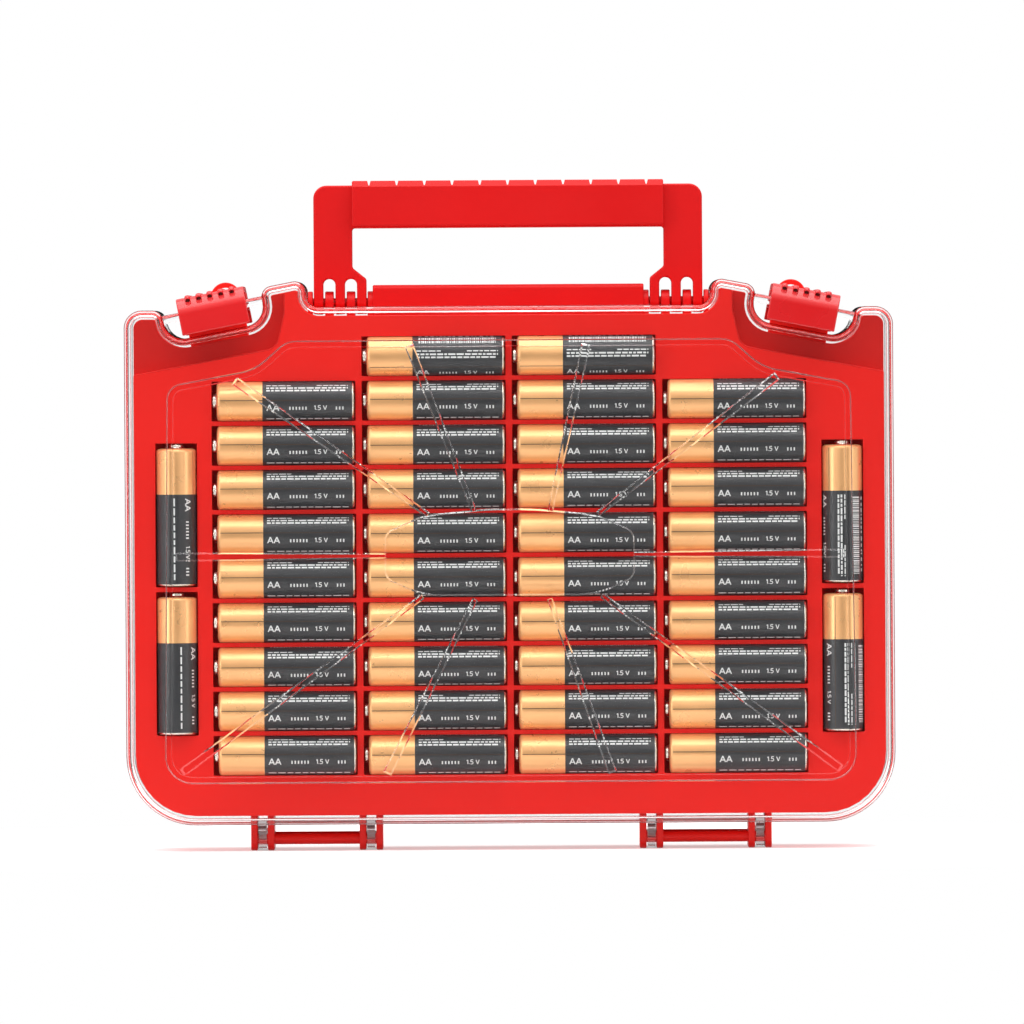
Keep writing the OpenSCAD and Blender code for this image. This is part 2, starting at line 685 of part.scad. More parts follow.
// One latch in its own frame, closed: roll and tab at the front, lip at the back
module latch() {
    front = -latch_pin_y - latch_front;
    back = barrel_back - latch_pin_y;
    under = latch_top - latch_t;
    body = rounded([
        [front, -latch_tab, 0.6], [front + latch_t, -latch_tab, 0.6],
        [front + latch_t, -barrel_low, 0.4], [back, -barrel_low, 2],
        [back, under, 1], [-lip_y - lip_t - 0.6, under, 0.5],
        [-lip_y - lip_t, lip_v, 0.3], [-lip_y, lip_v, 0.3],
        [-lip_y, latch_top, 1.2], [front, latch_top, roll_r]]);
    rib = rounded([
        [front + 1, -rib_foot - 0.8, 0.3], [back - 0.6, under + 0.6, 0.3],
        [-lip_y - 4, under + 0.6, 0.3], [-lip_y - 5, latch_top + thumb_h, 0.6],
        [front - rib_out, latch_top + thumb_h, roll_r + thumb_h - 0.1],
        [front - rib_out, -rib_foot, 0.6]]);
    color(RED) difference() {
        union() {
            bar_x(body, -latch_w / 2, latch_w / 2);
            for (k = [-2 : 2])
                bar_x(rib, k * thumb_pitch - rib_w / 2, k * thumb_pitch + rib_w / 2);
        }
        round_x(latch_pin_d / 2 + latch_fit, -latch_w, latch_w, -latch_pin_y, 0);
    }
}

// The handle, upright: a flat frame with a thicker notched grip and two slotted feet
module handle() {
    top = pivot_z + grip_rise;
    grip_low = top - grip_h;
    leg_in = handle_half - leg_w;
    arch = both_sides([
        [handle_half, pivot_z, 0.1], [handle_half, top - leg_drop, handle_r]]);
    mouth = both_sides([
        [foot_in, pivot_z - join, 0.1], [foot_in, pivot_z + foot_rise, 1.5],
        [leg_in, pivot_z + foot_rise + foot_flare, 1.5], [leg_in, grip_low, 1]]);
    color(DEEP_RED) difference() {
        union() {
            difference() {
                slab(rounded(arch), -leg_t / 2, leg_t / 2);
                slab(rounded(mouth), -leg_t, leg_t);
            }
            bar_x(rounded(both_sides([[grip_t / 2, grip_low, 4], [grip_t / 2, top, 4]])),
                -leg_in, leg_in);
            for (s = [-1, 1]) round_x(barrel_r, min(s * foot_in, s * handle_half),
                max(s * foot_in, s * handle_half), 0, pivot_z);
        }
        for (k = [0 : notches - 1])
            slab([[-notch_w / 2, 0], [0, -notch_deep], [notch_w / 2, 0], [0, notch_w]]
                + [for (i = [0 : 3]) [(k - (notches - 1) / 2) * notch_pitch, top]],
                -grip_t, grip_t);
        for (s = [-1, 1]) mirror([s < 0 ? 1 : 0, 0, 0]) {
            for (k = [0, 1]) {
                x = foot_in + finger_w + k * (finger_w + slot_w);
                low = pivot_z - barrel_r - join;
                slab(rounded([[x, low, 0.1], [x + slot_w, low, 0.1],
                    [x + slot_w, pivot_z + foot_rise, slot_w / 2 - 0.05],
                    [x, pivot_z + foot_rise, slot_w / 2 - 0.05]]), -grip_t, grip_t);
            }
            round_x(pin_d / 2 + pin_fit, foot_in - join, handle_half + join, 0, pivot_z);
        }
    }
}

module handle_pin(side) {
    color(DEEP_RED) mirror([side < 0 ? 1 : 0, 0, 0])
        round_x(pin_d / 2, bar_half - pin_in, recess_x - clear, 0, pivot_z);
}

module hinge_rod(side, face) {
    color(RED) round_x(rod_r, side * hinge_x - hinge_w / 2, side * hinge_x + hinge_w / 2,
        face * rod_y, rod_z);
}

tray();
tray_shoulders();
hinge_cheeks();
handle_mount();
latch_catches();
lid();  // back_lid
front_half_turn(true) lid();  // front_lid
handle();
handle_pin(-1);  // handle_pin_left
handle_pin(1);  // handle_pin_right
hinge_rod(-1, -1);  // back_hinge_rod_left
hinge_rod(1, -1);  // back_hinge_rod_right
hinge_rod(-1, 1);  // front_hinge_rod_left
hinge_rod(1, 1);  // front_hinge_rod_right
latch_frame(-1) latch();  // back_latch_left
latch_frame(1) latch();  // back_latch_right
front_half_turn(true) latch_frame(1) latch();  // front_latch_left
front_half_turn(true) latch_frame(-1) latch();  // front_latch_right
for (c = CELLS) lying_cell(c);
for (s = SIDE_CELLS) upright_cell(s);
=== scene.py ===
"""Looks of a two-sided battery storage case: red tray, clear hinged lids, latches and handle.

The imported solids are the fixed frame. Sizes here are in millimetres and become metres as
the meshes are made, because the frame is in metres.
"""

import math
import random

import bpy
from bpy.props import FloatProperty, FloatVectorProperty, IntProperty, PointerProperty
from mathutils import Matrix, Quaternion, Vector


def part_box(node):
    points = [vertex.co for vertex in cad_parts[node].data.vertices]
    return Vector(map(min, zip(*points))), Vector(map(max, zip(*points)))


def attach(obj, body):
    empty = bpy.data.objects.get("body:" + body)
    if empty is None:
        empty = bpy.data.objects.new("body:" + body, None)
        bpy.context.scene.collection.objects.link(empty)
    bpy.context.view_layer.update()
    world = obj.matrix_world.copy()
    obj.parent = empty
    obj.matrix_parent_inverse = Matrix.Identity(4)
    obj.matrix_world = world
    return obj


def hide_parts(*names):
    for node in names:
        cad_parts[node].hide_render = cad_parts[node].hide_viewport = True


bl_info = {
    "name": "Battery storage case",
    "version": (1, 0, 0),
    "blender": (4, 5, 0),
    "location": "3D View > Sidebar > Case",
    "description": "Builds the looks of a two-sided battery storage case round its solids",
    "category": "Object",
}

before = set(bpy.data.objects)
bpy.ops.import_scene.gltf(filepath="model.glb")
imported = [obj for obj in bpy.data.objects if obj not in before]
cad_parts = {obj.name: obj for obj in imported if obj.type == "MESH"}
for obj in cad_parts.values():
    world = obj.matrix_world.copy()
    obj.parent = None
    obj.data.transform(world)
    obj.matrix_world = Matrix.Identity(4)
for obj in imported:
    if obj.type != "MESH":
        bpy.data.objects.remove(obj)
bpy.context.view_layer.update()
MM = 0.001


def box_mm(node):
    """Lowest and highest corner of a solid of the frame, in millimetres."""
    low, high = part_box(node)
    return low / MM, high / MM


LID_LOW, LID_HIGH = box_mm("back_lid")
HALF_W = LID_HIGH.x
LID_Z = 9.6
HALF_D = -LID_LOW.y


def srgb(text):
    """A written sRGB colour such as #D8191C as the linear colour that shaders use."""
    parts = [int(text[i : i + 2], 16) / 255 for i in (1, 3, 5)]
    return [c / 12.92 if c <= 0.04045 else ((c + 0.055) / 1.055) ** 2.4 for c in parts]


# Sizes and colours


class CaseSizes(bpy.types.PropertyGroup):
    """Sizes of the clear lids and of the printed cells, in millimetres."""

    lid_wall: FloatProperty(
        name="Lid wall", description="Wall of a clear lid", default=1.8, min=1.4, max=2.2
    )
    rim_round: FloatProperty(
        name="Rim edge", description="Radius of the edge round a lid", default=2.2
    )
    ridge_height: FloatProperty(
        name="Ridge height", description="Height of the ridges over the panel", default=0.8
    )
    edge_round: FloatProperty(
        name="Moulded edge", description="Radius of the red mouldings' edges", default=0.35
    )
    copper_length: FloatProperty(
        name="Copper band", description="Length of the copper band of a cell", default=16.5
    )
    cell_sides: IntProperty(
        name="Cell sides", description="Number of faces round a cell", default=48
    )


class CaseColours(bpy.types.PropertyGroup):
    """Colours of the mouldings and of the cells."""

    tray: FloatVectorProperty(
        name="Tray", description="Red of the tray", subtype="COLOR", default=srgb("#EE201A")
    )
    handle: FloatVectorProperty(
        name="Handle", description="Red of the handle", subtype="COLOR", default=srgb("#D20A0C")
    )
    latch: FloatVectorProperty(
        name="Latches", description="Red of the latches", subtype="COLOR", default=srgb("#D40C12")
    )
    copper: FloatVectorProperty(
        name="Copper band", description="Band of a cell", subtype="COLOR", default=srgb("#F8BC80")
    )
    sleeve: FloatVectorProperty(
        name="Sleeve", description="Sleeve of a cell", subtype="COLOR", default=srgb("#38383A")
    )


def sizes():
    """The sizes that the scene holds."""
    return bpy.context.scene.case_sizes


def colours():
    """The colours that the scene holds."""
    return bpy.context.scene.case_colours


# Materials


def add_node(tree, kind, inputs=None, **settings):
    """Adds one node. inputs gives each socket, by name or number, a value or a link."""
    made = tree.nodes.new(kind)
    for name, value in settings.items():
        setattr(made, name, value)
    for name, value in (inputs or {}).items():
        socket = made.inputs[name]
        if isinstance(value, bpy.types.NodeSocket):
            tree.links.new(value, socket)
        else:
            socket.default_value = value
    return made


def new_material(name):
    """An empty node material with its output, and the object coordinates in metres."""
    material = bpy.data.materials.new(name)
    material.use_nodes = True
    tree = material.node_tree
    tree.nodes.clear()
    out = add_node(tree, "ShaderNodeOutputMaterial")
    place = add_node(tree, "ShaderNodeTexCoord").outputs["Object"]
    return material, tree, out, place


def patches_of(tree, place, size_mm, detail):
    """Noise in patches about size_mm across."""
    settings = {"Vector": place, "Scale": 1 / (size_mm * MM), "Detail": detail}
    return add_node(tree, "ShaderNodeTexNoise", settings)


def shades(tree, place, colour, spread, size_mm):
    """The colour with soft patches a little darker and lighter, size_mm across."""
    patches = patches_of(tree, place, size_mm, 3.0)
    ramp = add_node(tree, "ShaderNodeValToRGB", {"Fac": patches.outputs["Fac"]})
    ramp.color_ramp.elements[0].position = 0.3
    ramp.color_ramp.elements[1].position = 0.7
    for element, share in zip(ramp.color_ramp.elements, (1 - spread, 1 + spread)):
        element.color = [min(1.0, c * share) for c in colour] + [1]
    return ramp.outputs["Color"]


def between(tree, place, low, high, size_mm):
    """A value that wanders between low and high over patches of size_mm."""
    patches = patches_of(tree, place, size_mm, 4.0)
    return add_node(
        tree,
        "ShaderNodeMapRange",
        {"Value": patches.outputs["Fac"], 1: 0.3, 2: 0.7, 3: low, 4: high},
    ).outputs[0]


def grain(tree, place, size_mm, depth_mm, detail=2.0):
    """A moulded skin: bumps of size_mm across and depth_mm deep."""
    bumps = patches_of(tree, place, size_mm, detail)
    return add_node(
        tree,
        "ShaderNodeBump",
        {"Height": bumps.outputs["Fac"], "Distance": depth_mm * MM, "Strength": 1.0},
    ).outputs["Normal"]


def moulded_abs(name, colour, low_rough, high_rough, grain_mm, depth_mm, gloss=0.22):
    """Injection-moulded ABS: opaque, saturated, with a soft gloss that the mould's fine
    skin breaks up, and a slight unevenness of colour where the melt flowed."""
    material, tree, out, place = new_material(name)
    shader = add_node(
        tree,
        "ShaderNodeBsdfPrincipled",
        {
            "Base Color": shades(tree, place, colour, 0.05, 60),
            "Roughness": between(tree, place, low_rough, high_rough, 25),
            "Normal": grain(tree, place, grain_mm, depth_mm),
            "IOR": 1.52,
            "Specular IOR Level": gloss,
        },
    )
    tree.links.new(shader.outputs[0], out.inputs["Surface"])
    return material


def clear_polystyrene():
    """Moulded crystal polystyrene: water clear with a polished skin, faintly wavy from the
    mould. Lamps and bounced light pass straight through, so the tray is lit."""
    material, tree, out, place = new_material("clear_moulded_polystyrene")
    shader = add_node(
        tree,
        "ShaderNodeBsdfPrincipled",
        {
            "Base Color": (1, 1, 1, 1),
            "Roughness": 0.02,
            "IOR": 1.5,
            "Transmission Weight": 1.0,
            "Normal": grain(tree, place, 38, 0.05, 0.0),
        },
    )
    through = add_node(tree, "ShaderNodeBsdfTransparent", {"Color": (0.94, 0.95, 0.95, 1)})
    path = add_node(tree, "ShaderNodeLightPath")
    either = add_node(
        tree,
        "ShaderNodeMath",
        {0: path.outputs["Is Shadow Ray"], 1: path.outputs["Is Diffuse Ray"]},
        operation="MAXIMUM",
    )
    mix = add_node(
        tree,
        "ShaderNodeMixShader",
        {0: either.outputs[0], 1: shader.outputs[0], 2: through.outputs[0]},
    )
    tree.links.new(mix.outputs[0], out.inputs["Surface"])
    return material


def copper_film():
    """Copper-coloured metallised film on the cells: a bright satin metal look."""
    material, tree, out, place = new_material("copper_metallised_film")
    shader = add_node(
        tree,
        "ShaderNodeBsdfPrincipled",
        {
            "Base Color": shades(tree, place, colours().copper, 0.04, 12),
            "Metallic": 0.5,
            "Roughness": between(tree, place, 0.26, 0.34, 6),
            "Normal": grain(tree, place, 0.6, 0.004),
        },
    )
    tree.links.new(shader.outputs[0], out.inputs["Surface"])
    return material


def printed_film(name, colour, rough):
    """Printed polypropylene label film: even ink under a thin satin varnish."""
    material, tree, out, place = new_material(name)
    shader = add_node(
        tree,
        "ShaderNodeBsdfPrincipled",
        {
            "Base Color": shades(tree, place, colour, 0.06, 9),
            "Roughness": between(tree, place, rough, rough + 0.08, 5),
            "Normal": grain(tree, place, 0.5, 0.003),
            "IOR": 1.49,
        },
    )
    tree.links.new(shader.outputs[0], out.inputs["Surface"])
    return material


def nickelled_steel():
    """Nickel-plated drawn steel of the cells' cans: bright, slightly yellow, fine haze."""
    material, tree, out, place = new_material("nickelled_drawn_steel")
    shader = add_node(
        tree,
        "ShaderNodeBsdfPrincipled",
        {
            "Base Color": shades(tree, place, srgb("#D9D3C8"), 0.05, 4),
            "Metallic": 1.0,
            "Roughness": between(tree, place, 0.2, 0.32, 3),
            "Normal": grain(tree, place, 0.3, 0.002),
        },
    )
    tree.links.new(shader.outputs[0], out.inputs["Surface"])
    return material


MATERIALS = {}


def make_materials():
    """One material for each finish, from the colours that the scene holds."""
    tint = colours()
    MATERIALS["tray"] = moulded_abs("red_moulded_abs", tint.tray, 0.3, 0.4, 0.8, 0.012)
    # The shoulders take the tray's red at 0.7, a painted shade of their deep recess, with a
    # rougher skin as well
    shade = [c * 0.7 for c in tint.tray]
    MATERIALS["shoulder"] = moulded_abs("matt_red_abs_painted_shade", shade, 0.45, 0.55, 0.8, 0.02)
    MATERIALS["handle"] = moulded_abs("deep_red_textured_abs", tint.handle, 0.38, 0.5, 0.6, 0.02)
    MATERIALS["latch"] = moulded_abs(
        "bright_red_moulded_abs", tint.latch, 0.22, 0.32, 0.8, 0.01, gloss=0.65
    )
    MATERIALS["lid"] = clear_polystyrene()
    MATERIALS["copper"] = copper_film()
    MATERIALS["sleeve"] = printed_film("dark_printed_film", tint.sleeve, 0.3)
    MATERIALS["print"] = printed_film("white_printed_ink", srgb("#E4E4E2"), 0.4)
    # A thin dark line along each cell is a painted reflection of a dark streak
    MATERIALS["seam"] = printed_film("lapped_film_seam", srgb("#4A3628"), 0.4)
    MATERIALS["steel"] = nickelled_steel()


# Outlines


ARC_STEP = math.radians(6)


def left_of(a, b):
    """The direction square to the left of the way from a to b."""
    u = (b - a).normalized()
    return Vector((-u.y, u.x))


def turn(a, b, c):
    """The angle by which the way a, b, c turns left at b."""
    p, q = b - a, c - b
    return math.atan2(p.x * q.y - p.y * q.x, p.dot(q))


def rounded(corners, inset=0.0):
    """Points of an outline. A corner is (x, z, radius), corners run anticlockwise, and an
    inset moves every edge inwards and keeps the number of points."""
    count = len(corners)
    p = [Vector(c[:2]) for c in corners]
    q = []
    for i in range(count):
        m, n = left_of(p[i - 1], p[i]), left_of(p[i], p[(i + 1) % count])
        q.append(p[i] + inset * (m + n) / (1 + m.dot(n)))
    points = []
    for i in range(count):
        a, b, c = q[i - 1], q[i], q[(i + 1) % count]
        t = turn(a, b, c)
        side = 1 if t > 0 else -1
        r = max(0.05, corners[i][2] - side * inset)
        steps = max(1, math.ceil(abs(turn(p[i - 1], p[i], p[(i + 1) % count])) / ARC_STEP))
        start = b - (b - a).normalized() * r * math.tan(abs(t) / 2)
        centre = start + side * r * left_of(a, b)
        first = math.atan2(start.y - centre.y, start.x - centre.x)
        for k in range(steps + 1):
            angle = first + t * k / steps
            points.append(centre + r * Vector((math.cos(angle), math.sin(angle))))
    return points


def both_sides(half):
    """Corners of the right half of an outline, and the same ones mirrored to the left."""
    return half + [(-x, z, r) for x, z, r in reversed(half)]


TILT = math.radians(11)
LATCH_X = HALF_W - 31.7
LATCH_Z = 193.3
LATCH_PIN_Y = 30.0
RECESS_X = 72.1
RECESS_Z = 194.3
BADGE_Z = 105.4
SHOULDER_V = 4.4
HINGE_X, ROD_Y, ROD_Z = 69.5, 12.0, 4.1
CHEEK_X, CHEEK = 23.6, 2.4


def at_latch(u, v):
    """A point in the tilted frame of the right-hand latch: u outwards, v upwards."""
    c, s = math.cos(TILT), math.sin(TILT)
    return (LATCH_X + u * c + v * s, LATCH_Z - u * s + v * c)


SHOULDER_U = (RECESS_X - LATCH_X - SHOULDER_V * math.sin(TILT)) / math.cos(TILT)
LID_OUTLINE = both_sides([
    (HALF_W, LID_Z, 25),
    (HALF_W, LATCH_Z, 6.4),
    (*at_latch(17.9, 17.9 * math.tan(TILT)), 4.2),
    (*at_latch(17.9, -8), 7),
    (*at_latch(-17.9, -8), 7),
    (*at_latch(-17.9, SHOULDER_V), 4),
    (*at_latch(SHOULDER_U, SHOULDER_V), 4),
    (RECESS_X, RECESS_Z, 4.5),
])
PANEL_X = HALF_W - 13.7
PANEL_TOP = RECESS_Z - 12
PANEL_OUTLINE = both_sides([
    (PANEL_X, LID_Z + 14.8, 10),
    (PANEL_X - 1.4, LATCH_Z - 27.0, 6),
    (HALF_W - 46.6, LATCH_Z - 21.2, 18),
    (RECESS_X + 7, PANEL_TOP, 9),
])
BADGE_OUTLINE = both_sides([
    (31, BADGE_Z - 14.8, 30),
    (45, BADGE_Z - 8.5, 5),
    (45, BADGE_Z + 8.5, 5),
    (31, BADGE_Z + 14.8, 30),
    (8, BADGE_Z + 17, 60),
])
RIDGES = [
    (-(HALF_W - 40), LATCH_Z - 25.6, -29, BADGE_Z + 14.5),
    (HALF_W - 42, LATCH_Z - 25, 31.5, BADGE_Z + 14.5),
    (-35.2, PANEL_TOP - 2.6, -12.5, BADGE_Z + 15.5),
    (27.5, PANEL_TOP - 2.6, 14.5, BADGE_Z + 15.5),
    (-(HALF_W - 20.5), LID_Z + 19.4, -31, BADGE_Z - 14.5),
    (HALF_W - 20, LID_Z + 19.4, 32.7, BADGE_Z - 14.5),
    (-43.8, LID_Z + 18.8, -12.3, BADGE_Z - 15.5),
    (35.9, LID_Z + 18.8, 14.1, BADGE_Z - 15.5),
    (-(PANEL_X - 5), BADGE_Z, -44, BADGE_Z),
    (PANEL_X - 5, BADGE_Z, 44, BADGE_Z),
]
RIM_Y = HALF_D - 3.0
PANEL_Y = HALF_D - 0.8
SKIRT_Y = 16.0


# Modelling tools


def deselect():
    """Object mode with nothing selected, because an operator acts on all that is."""
    if bpy.context.object and bpy.context.object.mode != "OBJECT":
        bpy.ops.object.mode_set(mode="OBJECT")
    bpy.ops.object.select_all(action="DESELECT")


def pick(piece):
    """Makes one piece the only selected one, and the active one."""
    deselect()
    piece.select_set(True)
    bpy.context.view_layer.objects.active = piece


def edit(piece):
    """Edit mode on one piece, with all of it selected."""
    pick(piece)
    bpy.ops.object.mode_set(mode="EDIT")
    bpy.ops.mesh.select_all(action="SELECT")


def finish_mesh(piece, angle=35, level=True):
    """Closes an edit: normals outwards, smooth shading over gentle angles, and level faces
    that shade as flat up to the roundings beside them."""
    edit(piece)
    bpy.ops.mesh.normals_make_consistent(inside=False)
    bpy.ops.object.mode_set(mode="OBJECT")
    bpy.ops.object.shade_smooth_by_angle(angle=math.radians(angle))
    if level:
        modifier = piece.modifiers.new("level_faces", "WEIGHTED_NORMAL")
        modifier.keep_sharp = True
        modifier.weight = 80
        bpy.ops.object.modifier_apply(modifier=modifier.name)
    return piece


def ring(name, points):
    """A filled outline: a circle with one vertex for each point, moved onto the points."""
    deselect()
    bpy.ops.mesh.primitive_circle_add(vertices=len(points), fill_type="NGON")
    piece = bpy.context.object
    piece.name = name
    for vertex, point in zip(piece.data.vertices, points):
        vertex.co = Vector(point) * MM
    return piece


def push(piece, points):
    """Extrudes the selected end face and moves its new ring onto the given points."""
    pick(piece)
    bpy.ops.object.mode_set(mode="EDIT")
    bpy.ops.mesh.extrude_region_move()
    bpy.ops.object.mode_set(mode="OBJECT")
    fresh = [v for v in piece.data.vertices if v.select]
    for vertex, point in zip(fresh, points):
        vertex.co = Vector(point) * MM
    return piece


def flat(outline, y):
    """An outline laid in the plane across the depth at y."""
    return [(p.x, y, p.y) for p in outline]


def across(profile, x):
    """A section laid in the plane across the width at x."""
    return [(x, p[0], p[1]) for p in profile]


def solid(name, *rings):
    """A solid through outlines of the same number of points, from the first to the last."""
    piece = ring(name, rings[0])
    for points in rings[1:]:
        push(piece, points)
    edit(piece)
    bpy.ops.mesh.normals_make_consistent(inside=False)
    bpy.ops.object.mode_set(mode="OBJECT")
    return piece


def rolled(name, corners, near, far, r, lay=flat, steps=3):
    """A slab of an outline between two planes, with the edges of both faces rounded."""
    edge = []
    for k in range(steps + 1):
        a = math.radians(90 * k / steps)
        edge.append((r * (1 - math.sin(a)), r * (1 - math.cos(a))))
    start = [lay(rounded(corners, inset), near + depth) for inset, depth in edge]
    end = [lay(rounded(corners, inset), far - depth) for inset, depth in reversed(edge)]
    return solid(name, *start, *end)


def round_bar(name, r, x0, x1, y, z, edge=0.0):
    """A round bar along X, with its ends' edges rounded."""
    s = r - 0.001
    square = [(y - r, z - r, s), (y + r, z - r, s), (y + r, z + r, s), (y - r, z + r, s)]
    if edge:
        return rolled(name, square, x0, x1, edge, across)
    return solid(name, across(rounded(square), x0), across(rounded(square), x1))


def bevel_where(piece, chosen, width_mm, segments):
    """Rounds the edges that chosen(a, b) picks by their two ends, in millimetres."""
    pick(piece)
    mesh = piece.data
    for polygon in mesh.polygons:
        polygon.select = False
    for vertex in mesh.vertices:
        vertex.select = False
    for e in mesh.edges:
        a, b = (mesh.vertices[i].co / MM for i in e.vertices)
        e.select = bool(chosen(a, b))
    bpy.ops.object.mode_set(mode="EDIT")
    bpy.ops.mesh.select_mode(type="EDGE")
    bpy.ops.mesh.bevel(offset=width_mm * MM, segments=segments, affect="EDGES")
    bpy.ops.mesh.select_mode(type="VERT")
    bpy.ops.object.mode_set(mode="OBJECT")
    return piece


def boolean(piece, other, operation):
    """Joins or cuts piece with other, which is used up."""
    pick(piece)
    modifier = piece.modifiers.new(operation.lower(), "BOOLEAN")
    modifier.object = other
    modifier.operation = operation
    modifier.solver = "EXACT"
    bpy.ops.object.modifier_apply(modifier=modifier.name)
    mesh = other.data
    bpy.data.objects.remove(other)
    bpy.data.meshes.remove(mesh)
    return piece


def join(piece, others):
    """Makes piece and the others one mesh, each still a form of its own."""
    pick(piece)
    for other in others:
        other.select_set(True)
    bpy.ops.object.join()
    return piece


def bevel_all(piece, width_mm, angle, segments=2):
    """Rounds every edge sharper than an angle with an applied Bevel modifier."""
    pick(piece)
    modifier = piece.modifiers.new("rounding", "BEVEL")
    modifier.width = width_mm * MM
    modifier.segments = segments
    modifier.limit_method = "ANGLE"
    modifier.angle_limit = math.radians(angle)
    modifier.use_clamp_overlap = False
    bpy.ops.object.modifier_apply(modifier=modifier.name)
    return piece


def merged_copy(node, name):
    """A copy of a solid of the frame with its loose triangles merged into whole faces."""
    deselect()
    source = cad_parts[node]
    piece = bpy.data.objects.new(name, source.data.copy())
    bpy.context.scene.collection.objects.link(piece)
    piece.data.materials.clear()
    for layer in list(piece.data.attributes):
        if layer.name.startswith("custom_normal"):
            piece.data.attributes.remove(layer)
    edit(piece)
    bpy.ops.mesh.remove_doubles(threshold=0.002 * MM)
    bpy.ops.mesh.customdata_custom_splitnormals_clear()
    bpy.ops.mesh.select_all(action="SELECT")
    bpy.ops.mesh.dissolve_limited(angle_limit=math.radians(0.6))
    bpy.ops.object.mode_set(mode="OBJECT")
    return piece


def dress(piece, material, body, slot, *nodes):
    """Gives a piece its material and body, and hides the solids that it stands for. The slot is
    not used.
    """
    if material:
        piece.data.materials.clear()
        piece.data.materials.append(MATERIALS[material])
    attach(piece, body)
    if nodes:
        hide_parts(*nodes)
    return piece


# Cells


def lathe(name, steps, sides):
    """A turned form along X: a disc whose face is extruded, moved and resized in steps
    of (x, radius)."""
    deselect()
    (x, r), rest = steps[0], steps[1:]
    bpy.ops.mesh.primitive_circle_add(
        vertices=sides,
        radius=r * MM,
        fill_type="NGON",
        location=(x * MM, 0, 0),
        rotation=(0, math.radians(90), 0),
    )
    bpy.ops.object.transform_apply(location=True, rotation=True, scale=True)
    piece = bpy.context.object
    piece.name = name
    bpy.ops.object.mode_set(mode="EDIT")
    bpy.ops.mesh.select_all(action="SELECT")
    for next_x, next_r in rest:
        bpy.ops.mesh.extrude_region_move(
            TRANSFORM_OT_translate={"value": ((next_x - x) * MM, 0, 0)}
        )
        share = next_r / r
        bpy.ops.transform.resize(value=(1, share, share))
        x, r = next_x, next_r
    bpy.ops.object.mode_set(mode="OBJECT")
    return piece


# Strokes of the generic marks on a sleeve, in a box one high
STROKES = {
    "A": [(0, 0, 0.42, 1), (0.42, 1, 0.84, 0), (0.17, 0.34, 0.67, 0.34)],
    "1": [(0.05, 0.78, 0.3, 1), (0.3, 1, 0.3, 0)],
    ".": [(0.08, 0, 0.08, 0.14)],
    "5": [
        (0.62, 1, 0.12, 1), (0.12, 1, 0.1, 0.56), (0.1, 0.56, 0.46, 0.6),
        (0.46, 0.6, 0.64, 0.32), (0.64, 0.32, 0.44, 0), (0.44, 0, 0.04, 0.04),
    ],
    "V": [(0, 1, 0.36, 0), (0.36, 0, 0.72, 1)],
}
ADVANCE = {"A": 1.0, "1": 0.55, ".": 0.3, "5": 0.85, "V": 0.9, " ": 0.4}
CELL_LENGTH, CELL_R = 50.5, 7.25
PRINT_R = 7.262  # the ink lies just over the sleeve


def on_sleeve(x, up):
    """A point of the sleeve: x along the cell, up along its curve from the middle."""
    angle = up / PRINT_R
    return (x * MM, -PRINT_R * math.cos(angle) * MM, PRINT_R * math.sin(angle) * MM)


def mark(points, faces, x0, up0, x1, up1, width):
    """One straight printed stroke as a strip that follows the sleeve's curve."""
    a, b = Vector((x0, up0)), Vector((x1, up1))
    side = left_of(a, b) * width / 2
    parts = max(1, math.ceil(abs(up1 - up0) / 0.5))
    for k in range(parts + 1):
        p = a.lerp(b, k / parts)
        for q in (p - side, p + side):
            points.append(on_sleeve(q.x, q.y))
    n = len(points) - 2 * (parts + 1)
    for k in range(parts):
        i = n + 2 * k
        faces.append((i, i + 1, i + 3, i + 2))


def write(points, faces, text, x, up, height, width):
    """Generic marks such as a size or a voltage, stroke by stroke."""
    for letter in text:
        for x0, y0, x1, y1 in STROKES.get(letter, ()):
            mark(points, faces, x + x0 * height, up + y0 * height,
                 x + x1 * height, up + y1 * height, width)
        x += ADVANCE[letter] * height


def marks_piece(name, points, faces):
    """The printed strokes as one mesh."""
    mesh = bpy.data.meshes.new(name)
    mesh.from_pydata(points, [], faces)
    piece = bpy.data.objects.new(name, mesh)
    bpy.context.scene.collection.objects.link(piece)
    return piece


def sleeve_print(start, end):
    """The marks on a sleeve: rows of small dashes in place of the fine print, a field of
    upright bars, and the generic size and voltage."""
    pen = random.Random(11)
    points, faces = [], []
    for up, first, last in ((6.2, 0, 0.3), (6.2, 0.62, 1), (5.0, 0, 1), (3.9, 0, 0.97)):
        x = start + (end - start) * first
        stop = start + (end - start) * last
        while x < stop:
            long = pen.uniform(0.9, 2.6)
            mark(points, faces, x, up, min(x + long, stop), up, 0.62 if up < 6 else 0.42)
            x += long + 0.42
    write(points, faces, "AA", start + 0.2, -3.6, 2.3, 0.42)
    write(points, faces, "1.5 V", start + 17, -3.3, 1.6, 0.3)
    for first, count in ((8.4, 6), (25.0, 3)):
        for k in range(count):
            x = start + first + 1.15 * k
            mark(points, faces, x, -3.3, x, -2.1, 0.5)
    x = start
    while x < end - 1:
        wide = pen.uniform(1.6, 3.0)
        mark(points, faces, x, -7.6, min(x + wide, end), -7.6, 0.55)
        x += wide + 0.7
    for low, high, narrow in ((9.3, 12.6, 0.18), (13.4, 14.4, 0.5)):
        x = start + 0.8
        while x < end - 1:
            wide = pen.uniform(narrow, 3.2 * narrow)
            for k in range(int((high - low) / 0.5)):
                up = low + 0.5 * k + 0.25
                mark(points, faces, x, up, x + wide, up, 0.51)
            x += wide + pen.uniform(narrow, 2.4 * narrow)
    return marks_piece("sleeve_print", points, faces)


